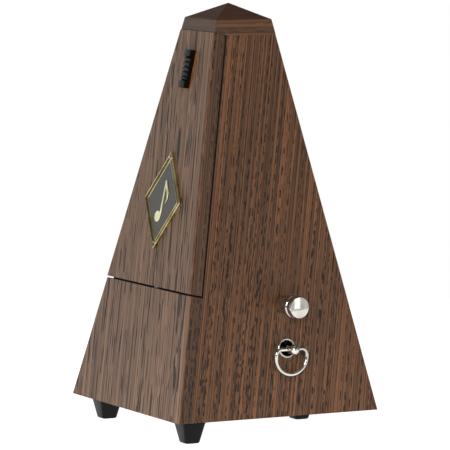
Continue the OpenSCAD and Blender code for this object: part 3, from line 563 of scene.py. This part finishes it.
def veneer(shape, seed, stripDepth=0.0):  # the front of each side is cut off as a strip
    if stripDepth:
        everything = list(shape.verts) + list(shape.edges) + list(shape.faces)
        start = frontFace @ Vector((0, 0, -stripDepth))
        bmesh.ops.bisect_plane(shape, geom=everything, plane_co=start, plane_no=outward, dist=weld)
    front = boardSlot["front"]
    for face in shape.faces:
        turn = outerTurn(face.calc_center_median(), face.normal)
        width = face.calc_area() / max(e.calc_length() for e in face.edges)
        boardEnd = width < case["thickest"] * mm
        inStrip = -(frontFace.inverted() @ face.calc_center_median()).z < stripDepth
        side = boardSlot["strip" if inStrip else "side"]
        hidden = boardSlot["end" if boardEnd else "inside"]
        face.material_index = {None: hidden, 0: front, 180: front, 90: side, 270: side}[turn]
    veneered = [boardSlot[k] for k in ("front", "side", "strip")]
    upright = lambda e: abs((e.verts[0].co - e.verts[1].co).normalized().z) > case["steep"]
    corner = lambda e: all(f.material_index in veneered for f in e.link_faces)
    skin = lambda e: any(f.material_index in veneered for f in e.link_faces)
    bevelEdges(shape, case["edge"], 2, lambda e: upright(e) and corner(e), material=boardSlot["edge"])
    bevelEdges(shape, case["fineEdge"], 1, lambda e: skin(e) and not corner(e))
    layGrain(shape, seed, wallGrain)


coverNodes = ["cover_panel", "cover_right_rail", "cover_left_rail"]
caseNodes = ["right_side_panel", "left_side_panel", "rear_panel", "lower_front_panel"]
cover = union(coverNodes)
coverDepth = -min((frontFace.inverted() @ v.co).z for v in cover.verts)
coverTop = max((frontFace.inverted() @ v.co).y for v in cover.verts)
shell = union(caseNodes)
veneer(shell, grainSeed["case"], coverDepth)
addPiece("veneeredCase", shell, boards, caseNodes)

for vert in cover.verts:  # the open joint between the cover and the sides
    flat = frontFace.inverted() @ vert.co
    if -flat.z > coverDepth - case["reach"] * mm:
        vert.co += outward * case["joint"] * mm
    if flat.y > coverTop - case["reach"] * mm:
        vert.co += upSlope * case["close"] * mm
veneer(cover, grainSeed["cover"])
addPiece("veneeredCover", cover, strips, coverNodes)

# a thin black strip on the body's edge closes the seam behind the front panels; its black is painted shade in
# the seam
stop = {"depth": (3.05, 3.95), "rise": (0.05, 0.8), "from": 14.0, "short": 1.5}
seamFoot = max((frontFace.inverted() @ v.co).y for v in nodes["lower_front_panel"].data.vertices)
seamReach = max((frontFace.inverted() @ v.co).x for v in nodes["cover_panel"].data.vertices)
stops = bmesh.new()
for side in (1, -1):
    near, far = sorted((side * stop["from"] * mm, side * (seamReach - stop["short"] * mm)))
    made = bmesh.ops.create_cube(stops, size=1)["verts"]
    for vert in made:
        vert.co = Vector((far if vert.co.x > 0 else near,
                          seamFoot + stop["rise"][vert.co.y > 0] * mm,
                          -stop["depth"][vert.co.z < 0] * mm))
bmesh.ops.transform(stops, matrix=frontFace, verts=stops.verts)
layGrain(stops, grainSeed["seam"], wallGrain)
addPiece("seamStop", stops, ["blackJointPaintedShade"], [], body="body")

roof = cadShape("roof_cap")
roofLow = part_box("roof_cap")[0].z
for face in roof.faces:
    turn = outerTurn(face.calc_center_median(), face.normal)
    away = roofSlot["slope" if face.normal.z > 0 else "under"]
    front, side = roofSlot["front"], roofSlot["side"]
    face.material_index = {None: away, 0: front, 180: front, 90: side, 270: side}[turn]
clear = roofLow + roofLook["clear"] * mm
bevelEdges(roof, roofLook["edge"], 2, lambda e: max(v.co.z for v in e.verts) > clear)


def roofGrain(face):  # runs level round the block
    return Vector((0, 0, 1)).cross(face.normal) if face.normal.z < 0.999 else Vector((1, 0, 0))


layGrain(roof, grainSeed["roof"], roofGrain)
addPiece("veneeredRoof", roof,
         ["capOakVeneerPaintedSheen", "bandOakVeneer", "roofOakVeneer", "blackJointPaintedShade"], ["roof_cap"])
print("case, cover and roof veneered")


# height and the recess of the screw in mm, points per corner, and the tiny ring that closes an end
foot = {"height": 12, "bore": 3.1, "boreDepth": 4.9, "boreLip": 0.2, "cornerPoints": 7,
        "closed": (0.02, 0.01)}
# height above the sole, side and corner rounding of each level, in mm
footLevels = [(0, 7.2, 1.5), (0.15, 7.9, 1.8), (0.5, 8.5, 2.0), (1.0, 8.75, 2.0), (9.8, 12.5, 2.0),
              (10.3, 12.8, 2.0), (10.8, 12.6, 1.9), (11.3, 12.1, 1.8), (11.8, 11.3, 1.7),
              (foot["height"], 10.9, 1.6)]


def footShape(centre):
    shape = bmesh.new()
    count = foot["cornerPoints"]
    turns = [(q, math.pi / 2 * q + math.pi / 2 * i / (count - 1)) for q in range(4) for i in range(count)]

    def ring(level, side, rounding):
        reach = side / 2 - rounding
        spots = []
        for q, a in turns:
            cornerX = reach * (1 if q in (0, 3) else -1)
            cornerY = reach * (1 if q in (0, 1) else -1)
            spots.append(shape.verts.new(Vector((
                centre.x + (cornerX + rounding * math.cos(a)) * mm,
                centre.y + (cornerY + rounding * math.sin(a)) * mm,
                centre.z + (level - foot["height"]) * mm))))
        return spots

    bore, depth, lip = foot["bore"], foot["boreDepth"], foot["boreLip"]
    levels = [(depth, *foot["closed"]), (depth, 2 * bore, bore), (lip, 2 * bore, bore),
              (0, 2 * bore + 2 * lip, bore + lip)] + footLevels + [(foot["height"], *foot["closed"])]
    rings = [ring(*level) for level in levels]
    for lower, upper in zip(rings, rings[1:]):
        for i in range(len(lower)):
            j = (i + 1) % len(lower)
            shape.faces.new((lower[i], lower[j], upper[j], upper[i]))
    bmesh.ops.remove_doubles(shape, verts=shape.verts, dist=1.5 * foot["closed"][0] * mm)
    bmesh.ops.recalc_face_normals(shape, faces=shape.faces)
    return shape


for name in ("front_left_foot", "front_right_foot", "rear_foot"):
    spot = middle(name)
    moulding = footShape(Vector((spot.x, spot.y, 0)))
    addPiece(name + "_rubber", moulding, ["mouldedBlackRubber"], [name], smooth=30)
print("feet moulded")


# radii and lengths in mm; each edge is a list of steps along the axis and out from a radius
knob = {"collar": 4.3, "head": 5.8, "neck": 4.9, "headLength": 4.0, "rod": 1.55, "rodDepth": 2.4,
        "drumShort": 1.9, "groove": 0.6, "dome": 0.32, "domeShare": 0.9, "domeRim": 0.75, "brow": 0.5,
        "steps": 96, "arc": 8,
        "collarEdge": [(0, -0.35), (0.1, -0.12), (0.35, 0)],
        "drumEdge": [(-1.2, -0.04), (-0.9, -0.3), (-0.65, -0.7)],
        "headBack": [(0.05, -0.55), (0.3, -0.2), (0.7, -0.04), (1.1, 0)],
        "headFront": [(-1.5, 0), (-1.1, -0.1)]}
knobLow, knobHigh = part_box("pull_knob")
knobLength = (knobHigh.x - knobLow.x) / mm
headStart = knobLength - knob["headLength"]
drumStart = knob["collarEdge"][-1][0]
drumLength = headStart - knob["drumShort"]
profile = [(knob["rodDepth"], knob["rod"]), (0, knob["rod"])]
profile += [(along, knob["collar"] + out) for along, out in knob["collarEdge"]]
for i in range(1, knob["arc"] + 1):
    t = i / knob["arc"]
    profile.append((drumStart + drumLength * t, knob["collar"] + (knob["head"] - knob["collar"]) * t ** 0.5))
profile += [(headStart + along, knob["head"] + out) for along, out in knob["drumEdge"]]
profile += [(headStart - knob["groove"], knob["neck"]), (headStart, knob["neck"])]
profile += [(headStart + along, knob["head"] + out) for along, out in knob["headBack"]]
profile += [(knobLength + along, knob["head"] + out) for along, out in knob["headFront"]]
profile.append((knobLength - knob["dome"], knob["head"] - knob["brow"]))
for i in range(1, knob["arc"] + 1):
    t = i / knob["arc"]
    drop = knob["dome"] * (1 - t) ** 2 * knob["domeShare"]
    profile.append((knobLength - drop, (knob["head"] - knob["domeRim"]) * (1 - t)))
knobShape = lathed(profile, knob["steps"], alongX(middle("pull_knob").y, middle("pull_knob").z))
bmesh.ops.translate(knobShape, vec=(knobLow.x, 0, 0), verts=knobShape.verts)
addPiece("turnedPullKnob", knobShape, ["polishedNickelPlate"], ["pull_knob"], smooth=40)

# the eyelet is a rolled rim standing on the sloping side, with a bright throat
# radii, height, depth of throat and thickness of its wall in mm
eyelet = {"outer": 5.25, "inner": 3.85, "rim": 0.68, "throat": 5.9, "wall": 0.5, "seat": 0.02,
          "steps": 72, "arc": 12}
keyAxis = middle("winding_key")
eyeletPlace = keySide @ Matrix.Translation((keyAxis.y, keyAxis.z / slope, 0))
rimWidth = eyelet["outer"] - eyelet["inner"]
throatWall = eyelet["inner"] + eyelet["wall"]
rimProfile = [(-eyelet["throat"], throatWall), (-eyelet["throat"], eyelet["inner"]), (0, eyelet["inner"])]
for i in range(1, eyelet["arc"]):
    a = math.pi * i / eyelet["arc"]
    rimProfile.append((eyelet["rim"] * math.sin(a), eyelet["inner"] + rimWidth / 2 * (1 - math.cos(a))))
rimProfile += [(eyelet["seat"], eyelet["outer"]), (eyelet["seat"], throatWall),
               (-eyelet["throat"], throatWall)]
eyeletShape = lathed(rimProfile, eyelet["steps"], eyeletPlace)
addPiece("rolledEyelet", eyeletShape, ["polishedNickelPlate"], ["key_eyelet"], smooth=50)

plated = {"winding_key": "polishedKey", "key_ring": "bentKeyRing", "pull_rod_bush": "pressedBush"}
for name, pieceName in plated.items():
    addPiece(pieceName, cadShape(name), ["polishedNickelPlate"], [name], smooth=30)
print("knob, eyelet, key and ring polished")


# a thin plate of brighter orange lies round the catch, wider than the grip at its sides and below it; sizes
# in mm about the grip; a thin plate stands in for the rim of the pocket milled for the catch, in mm about
# the grip
catchPatch = {"side": 1.0, "below": 0.5, "above": -0.6, "rise": 0.04, "sunk": 0.2, "corner": 1.2}
gripSpots = [p for p in (frontFace.inverted() @ v.co for v in nodes["catch_grip"].data.vertices) if p.z > 0]
patchWide = max(p.x for p in gripSpots) + catchPatch["side"] * mm
patchFoot = min(p.y for p in gripSpots) - catchPatch["below"] * mm
patchTop = max(p.y for p in gripSpots) + catchPatch["above"] * mm
coverFace = max((frontFace.inverted() @ v.co).z for v in nodes["cover_panel"].data.vertices)
rim = bmesh.new()
for vert in bmesh.ops.create_cube(rim, size=1)["verts"]:
    vert.co = Vector((math.copysign(patchWide, vert.co.x), patchTop if vert.co.y > 0 else patchFoot,
                      coverFace + (catchPatch["rise"] if vert.co.z > 0 else -catchPatch["sunk"]) * mm))
uprights = [e for e in rim.edges if abs(e.verts[0].co.z - e.verts[1].co.z) > weld]
bmesh.ops.bevel(rim, geom=uprights, offset=catchPatch["corner"] * mm, segments=4, profile=0.5, affect="EDGES")
bmesh.ops.transform(rim, matrix=frontFace, verts=rim.verts)
layGrain(rim, grainSeed["catchPatch"], wallGrain)
addPiece("catchPocketRim", rim, ["orangeOakPatch"], [], body="cover")

grip = cadShape("catch_grip")
bevelEdges(grip, arris["fine"], 2, lambda e: True)
addPiece("serratedCatch", grip, ["mouldedBlackAbs"], ["catch_grip"], smooth=30)


# ribs along the border: spacing, size, inset and height; and the places of the two pins, in mm
badge = {"ribSpace": 0.95, "rib": (0.42, 0.9, 0.22), "ribInset": 1.49, "ribHeight": 0.93,
         "pinInset": 3.4, "pinHeight": 0.8}
corners = [frontFace.inverted() @ v.co for v in nodes["badge_frame"].data.vertices]
badgeHalf = max(c.x for c in corners)
badgeTop = max(c.y for c in corners)
badgeFoot = min(c.y for c in corners)
badgeBack = min(c.z for c in corners)
badgeMid = (badgeTop + badgeFoot) / 2
badgeTall = (badgeTop - badgeFoot) / 2
# inset from the outer edge and height over the cover, in mm: bead, groove, ledge, inner lip
badgeSteps = [(0, 0), (0, 1.1), (0.12, 1.4), (0.32, 1.5), (0.55, 1.42), (0.65, 1.1), (0.98, 0.86),
              (2.0, 0.84), (2.3, 0.84), (2.42, 1.05), (2.55, 1.1), (2.7, 1.05), (2.8, 0.84)]
badgeGrooves = (0.65, 2.0)  # the steps that start a groove coloured black
badgeInner = (badgeSteps[-1][0], 0)


def lozenge(inset):
    shrink = 1 - inset * mm * math.hypot(badgeHalf, badgeTall) / (badgeHalf * badgeTall)
    return [(badgeHalf * shrink, badgeMid), (0, badgeMid + badgeTall * shrink),
            (-badgeHalf * shrink, badgeMid), (0, badgeMid - badgeTall * shrink)]


border = bmesh.new()
loops = [[border.verts.new((x, y, badgeBack + height * mm)) for x, y in lozenge(inset)]
         for inset, height in badgeSteps + [badgeInner, badgeSteps[0]]]
for step, inner, outer in zip(badgeSteps + [badgeInner], loops, loops[1:]):
    for i in range(4):
        quad = border.faces.new((inner[i], inner[(i + 1) % 4], outer[(i + 1) % 4], outer[i]))
        quad.material_index = 1 if step[0] in badgeGrooves else 0
bmesh.ops.remove_doubles(border, verts=border.verts, dist=weld)
bmesh.ops.transform(border, matrix=frontFace, verts=border.verts)
bmesh.ops.recalc_face_normals(border, faces=border.faces)

ribs, ribInput = newTree("ribsAlongEdge", [
    ("Spacing", "Float"), ("Rib size", "Vector"), ("Material", "Material")])
ribPath = addNode(ribs, "GeometryNodeMeshToCurve", links={"Mesh": ribInput["Geometry"]})
ribSpots = addNode(ribs, "GeometryNodeResampleCurve", {"mode": "LENGTH"}, {
    "Curve": ribPath.outputs[0], "Length": ribInput["Spacing"]})
ribBlock = addNode(ribs, "GeometryNodeMeshCube", links={"Size": ribInput["Rib size"]})
ribTangent = addNode(ribs, "GeometryNodeInputTangent")
ribTurn = addNode(ribs, "FunctionNodeAlignRotationToVector", {"axis": "X"}, {"Vector": ribTangent.outputs[0]})
ribCopies = addNode(ribs, "GeometryNodeInstanceOnPoints", links={
    "Points": ribSpots.outputs[0], "Instance": ribBlock.outputs[0], "Rotation": ribTurn.outputs[0]})
closeTree(ribs, ribCopies.outputs[0], ribInput["Material"])

ledge = [(x, y, 0) for x, y in lozenge(badge["ribInset"])]
ribMesh = grown(ledge, [(0, 1), (1, 2), (2, 3), (3, 0)], ribs, {
    "Spacing": badge["ribSpace"] * mm, "Rib size": Vector(badge["rib"]) * mm,
    "Material": finish["stampedGiltBrass"]})
ribMesh.transform(frontFace @ Matrix.Translation((0, 0, badgeBack + badge["ribHeight"] * mm)))
border.from_mesh(ribMesh)
addPiece("stampedBadgeBorder", border, ["stampedGiltBrass", "blackDialInk"], ["badge_frame"], smooth=20)

field = cadShape("badge_plate")
addPiece("lacqueredBadgeField", field, ["smokyLacquer"], ["badge_plate"], smooth=35)

motif = cadShape("badge_motif")
bevelEdges(motif, arris["fine"], 2, lambda e: True)
addPiece("embossedQuaver", motif, ["stampedPaleBrass"], ["badge_motif"], smooth=40)

pinHead = {"radius": 0.95, "rise": 0.45, "steps": 24, "arc": (0.4, 0.8, 1.15, 1.4)}
pins = cadShape("badge_pins")
dome = [(0, pinHead["radius"])]
dome += [(pinHead["rise"] * math.sin(a), pinHead["radius"] * math.cos(a)) for a in pinHead["arc"]]
dome.append((pinHead["rise"], 0))
for side in (1, -1):
    centre = (0, badgeMid + side * (badgeTall - badge["pinInset"] * mm), badgeBack + badge["pinHeight"] * mm)
    place = frontFace @ Matrix.Translation(centre)
    pins.from_mesh(toMesh(lathed(dome, pinHead["steps"], place), "pinHead"))
addPiece("badgePins", pins, ["polishedNickelPlate"], ["badge_pins"], smooth=40)
print("badge and catch made")


beats = [40, 42, 44, 46, 48, 50, 52, 54, 56, 58, 60, 63, 66, 69, 72, 76, 80, 84, 88, 92, 96, 100, 104, 108,
         112, 116, 120, 126, 132, 138, 144, 152, 160, 168, 176, 184, 192, 200, 208]
# margin, digit height, tick size, ink thickness and distances from the middle line, in mm
dial = {"margin": 3.5, "digit": 2.5, "tick": (2.4, 0.22, 0.04), "ink": 0.02,
        "tickSide": 4.2, "numberSide": 8.2}
plate = [frontFace.inverted() @ v.co for v in nodes["tempo_scale"].data.vertices]
dialFront = max(p.z for p in plate)
dialTop = max(p.y for p in plate) - dial["margin"] * mm
dialFoot = min(p.y for p in plate) + dial["margin"] * mm


def tempoHeight(beat):  # slow at the top, fast at the foot, in even steps of ratio
    return dialTop + (dialFoot - dialTop) * math.log(beat / beats[0]) / math.log(beats[-1] / beats[0])


ticks, tickInput = newTree("ticksOnPoints", [("Tick size", "Vector"), ("Material", "Material")])
tickBlock = addNode(ticks, "GeometryNodeMeshCube", links={"Size": tickInput["Tick size"]})
tickCopies = addNode(ticks, "GeometryNodeInstanceOnPoints", links={
    "Points": tickInput["Geometry"], "Instance": tickBlock.outputs[0]})
closeTree(ticks, tickCopies.outputs[0], tickInput["Material"])
tickSpots = [((1 if i % 2 else -1) * dial["tickSide"] * mm, tempoHeight(beat), dialFront + dial["ink"] * mm)
             for i, beat in enumerate(beats)]
marking = bmesh.new()
marking.from_mesh(grown(tickSpots, [], ticks, {
    "Tick size": Vector(dial["tick"]) * mm, "Material": finish["blackDialInk"]}))
for i, beat in enumerate(beats):
    label = bpy.data.curves.new("label", "FONT")
    label.body = str(beat)
    label.size = dial["digit"] * mm
    label.extrude = dial["ink"] * mm
    label.align_x = "CENTER"
    label.align_y = "CENTER"
    label.resolution_u = 3
    holder = bpy.data.objects.new("label", label)
    digits = bpy.data.meshes.new_from_object(holder)
    side = 1 if i % 2 else -1
    spot = (side * dial["numberSide"] * mm, tempoHeight(beat), dialFront + dial["ink"] * mm)
    digits.transform(Matrix.Translation(spot))
    marking.from_mesh(digits)
    bpy.data.objects.remove(holder)
bmesh.ops.transform(marking, matrix=frontFace, verts=marking.verts)
addPiece("dialMarking", marking, ["blackDialInk"], [], body="body")
print("tempo scale marked")


# slot width and depth and head height in mm; the head's profile is in shares of its height and radius
screw = {"slot": (0.7, 0.75), "rise": 0.5, "steps": 28, "fit": 0.98,
         "head": [(0, 1), (0.55, 1), (0.85, 0.93), (1, 0.78), (1, 0)]}


def screwParts(name):  # the loose parts of a node of screws, as boxes
    shape = cadShape(name)
    left = set(shape.verts)
    boxes = []
    while left:
        group = set()
        queue = [left.pop()]
        while queue:
            vert = queue.pop()
            group.add(vert)
            for edge in vert.link_edges:
                other = edge.other_vert(vert)
                if other in left:
                    left.discard(other)
                    queue.append(other)
        low = Vector([min(v.co[k] for v in group) for k in range(3)])
        high = Vector([max(v.co[k] for v in group) for k in range(3)])
        boxes.append((low, high))
    shape.free()
    return boxes


def slottedHead(radius):  # a cheese head with rounded shoulder and a cut slot
    rise = screw["rise"]
    outline = [(rise * up, radius * out) for up, out in screw["head"]]
    shape = lathed(outline, screw["steps"], Matrix.Identity(4))
    bmesh.ops.holes_fill(shape, edges=[e for e in shape.edges if e.is_boundary])
    head = bpy.data.objects.new("head", toMesh(shape, "head"))
    bar = bmesh.new()
    bmesh.ops.create_cube(bar, size=1)
    width, depth = screw["slot"]
    bmesh.ops.scale(bar, vec=(radius * 3 * mm, width * mm, depth * 2 * mm), verts=bar.verts)
    bmesh.ops.translate(bar, vec=(0, 0, rise * mm), verts=bar.verts)
    cutter = bpy.data.objects.new("cutter", toMesh(bar, "cutter"))
    for thing in (head, cutter):
        bpy.context.scene.collection.objects.link(thing)
    cut = head.modifiers.new("slot", "BOOLEAN")
    cut.operation = "DIFFERENCE"
    cut.object = cutter
    bpy.context.view_layer.update()
    mesh = bpy.data.meshes.new_from_object(head.evaluated_get(bpy.context.evaluated_depsgraph_get()))
    for thing in (head, cutter):
        bpy.data.objects.remove(thing)
    return mesh


heads, headInput = newTree("headsOnPoints", [("Head", "Object"), ("Material", "Material")])
headShape = addNode(heads, "GeometryNodeObjectInfo", links={"Object": headInput["Head"]})
headCopies = addNode(heads, "GeometryNodeInstanceOnPoints", links={
    "Points": headInput["Geometry"], "Instance": headShape.outputs["Geometry"]})
closeTree(heads, headCopies.outputs[0], headInput["Material"])


def screwHeads(spots, radius, direction):
    mesh = slottedHead(radius)
    mesh.transform(Vector((0, 0, 1)).rotation_difference(Vector(direction)).to_matrix().to_4x4())
    sample = bpy.data.objects.new("sample", mesh)
    bpy.context.scene.collection.objects.link(sample)
    result = grown(spots, [], heads, {"Head": sample, "Material": finish["brightDrawnSteel"]})
    bpy.data.objects.remove(sample)
    return result


fasteners = cadShape("movement_screws")
for low, high in screwParts("movement_screws"):
    size = high - low
    centre = (low + high) / 2
    if size.x > size.z and abs(centre.x) > 5 * mm:  # lies across, in a frame plate
        side = 1 if centre.x > 0 else -1
        direction = (side, 0, 0)
        spot = (high.x if side > 0 else low.x, centre.y, centre.z)
        radius = size.y / 2 / mm
    else:
        direction = (0, 0, 1)
        spot = (centre.x, centre.y, high.z)
        radius = size.x / 2 / mm
    fasteners.from_mesh(screwHeads([spot], radius * screw["fit"], direction))
addPiece("movementScrews", fasteners, ["brightDrawnSteel"], ["movement_screws"], smooth=30)
print("screws set")


works = {
    "stainedPlywood": ["base_board"],
    "satinBlackPaint": ["dial_board"],
    "creamEnamel": ["tempo_scale"],
    "brushedBrassSheet": ["left_frame_plate", "right_frame_plate", "front_bridge", "rear_bridge",
                          "escape_cock", "barrel", "great_wheel", "second_wheel", "escape_wheel",
                          "bell_drive_wheel", "cam_drum", "bell_hammer", "tempo_weight"],
    "brightDrawnSteel": ["foot_screws", "pendulum_clip", "catch_keeper", "frame_pillars", "bell_post",
                         "catch_plate", "pendulum_rod", "verge_staff", "pallets", "winding_arbor",
                         "ratchet_wheel", "click", "second_arbor", "escape_arbor", "cam_arbor", "pull_rod"],
    "bluedSpringSteel": ["click_spring", "catch_spring", "weight_spring", "mainspring"],
    "castLeadAlloy": ["pendulum_bob"],
    "polishedNickelPlate": ["bell_gong"],
}
for finishName, members in works.items():
    for name in members:
        materials = nodes[name].data.materials
        materials.clear()
        materials.append(finish[finishName])
print("works finished:", sum(len(members) for members in works.values()))


floor = {"size": 0.8, "level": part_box("rear_foot")[0].z, "glow": 0.95}
ground = bmesh.new()
bmesh.ops.create_grid(ground, x_segments=1, y_segments=1, size=floor["size"] / 2)
groundPiece = bpy.data.objects.new("paleFloor", toMesh(ground, "paleFloor"))
groundPiece.location = (0, 0, floor["level"])
bpy.context.scene.collection.objects.link(groundPiece)
paper = newMaterial("whitePaperSweep", {
    "Base Color": (0.9, 0.9, 0.9, 1), "Roughness": 0.9, "Emission Color": (1, 1, 1, 1),
    "Emission Strength": floor["glow"]})
groundPiece.data.materials.append(paper[0])
groundPiece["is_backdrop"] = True

# where each soft box stands, its size in metres and how bright its face is
softBoxes = {
    "overhead": {"at": (0.1, -0.1, 1.6), "size": (1.2, 1.2), "glow": 0.3},
    "frontLeft": {"at": (-2.6, -1.45, 0.5), "size": (3.2, 2.0), "glow": 0.45},
    "key": {"at": (1.45, -1.15, 0.6), "size": (0.7, 0.7), "glow": 11.0},
    "window": {"at": (1.72, 0.83, 0.0), "size": (0.27, 0.41), "glow": 1.3},
    "farScreen": {"at": (2.6, 1.5, 0.2), "size": (2.2, 2.2), "glow": 0.38},
}
for name, box in softBoxes.items():
    light = bpy.data.lights.new(name, "AREA")
    light.shape = "RECTANGLE"
    light.size, light.size_y = box["size"]
    light.energy = box["glow"] * math.pi * light.size * light.size_y
    holder = bpy.data.objects.new(name, light)
    holder.location = box["at"]
    aim = Vector((0, 0, 0.1)) - holder.location
    holder.rotation_euler = aim.to_track_quat("-Z", "Y").to_euler()
    bpy.context.scene.collection.objects.link(holder)

# brightness seen behind the object and cast from each side, the share of it left overhead, and
# the directions between which it fades
room = {"backdrop": 1.0, "left": 0.42, "right": 0.28, "overhead": 0.2, "across": (-0.5, 0.6),
        "upward": (0.15, 0.8)}
world = bpy.data.worlds.new("studio")
bpy.context.scene.world = world
world.use_nodes = True
air = world.node_tree
background = air.nodes["Background"]
direction = addNode(air, "ShaderNodeTexCoord").outputs["Generated"]
compass = addNode(air, "ShaderNodeSeparateXYZ", links={0: direction}).outputs
sideways = spread(air, compass["X"], room["left"], room["right"], *room["across"])
upward = spread(air, compass["Z"], 1.0, room["overhead"], *room["upward"])
cast = addNode(air, "ShaderNodeMath", {"operation": "MULTIPLY"}, {0: sideways, 1: upward}).outputs[0]
looking = addNode(air, "ShaderNodeLightPath").outputs["Is Camera Ray"]
seen = addNode(air, "ShaderNodeMix", {2: 0.0, 3: room["backdrop"]}, {0: looking, 2: cast})
air.links.new(seen.outputs[0], background.inputs["Strength"])
background.inputs["Color"].default_value = (1, 1, 1, 1)

shot = {"azimuth": 60.463, "elevation": 5.881, "roll": 0.70, "distance": 1.8813,
        "aim": (0.0012, -0.0010, 0.0927), "lens": 289.9, "sensor": 36}
azimuth, elevation, roll = (math.radians(shot[k]) for k in ("azimuth", "elevation", "roll"))
back = Vector((math.sin(azimuth) * math.cos(elevation), -math.cos(azimuth) * math.cos(elevation),
               math.sin(elevation)))
right = Vector((math.cos(azimuth), math.sin(azimuth), 0))
up = back.cross(right)
cameraX = right * math.cos(roll) + up * math.sin(roll)
cameraY = up * math.cos(roll) - right * math.sin(roll)
camera = bpy.data.objects.new("camera", bpy.data.cameras.new("camera"))
camera.data.sensor_width = shot["sensor"]
camera.data.lens = shot["lens"]
camera.matrix_world = Matrix.Translation(Vector(shot["aim"]) + back * shot["distance"]) @ Matrix(
    (cameraX, cameraY, back)).transposed().to_4x4()
bpy.context.scene.collection.objects.link(camera)
bpy.context.scene.camera = camera
bpy.context.scene.view_settings.view_transform = "Standard"
print("stage set")

sizes = {"cad": [list(corner) for corner in cadBox], "visual": [list(corner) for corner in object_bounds()]}
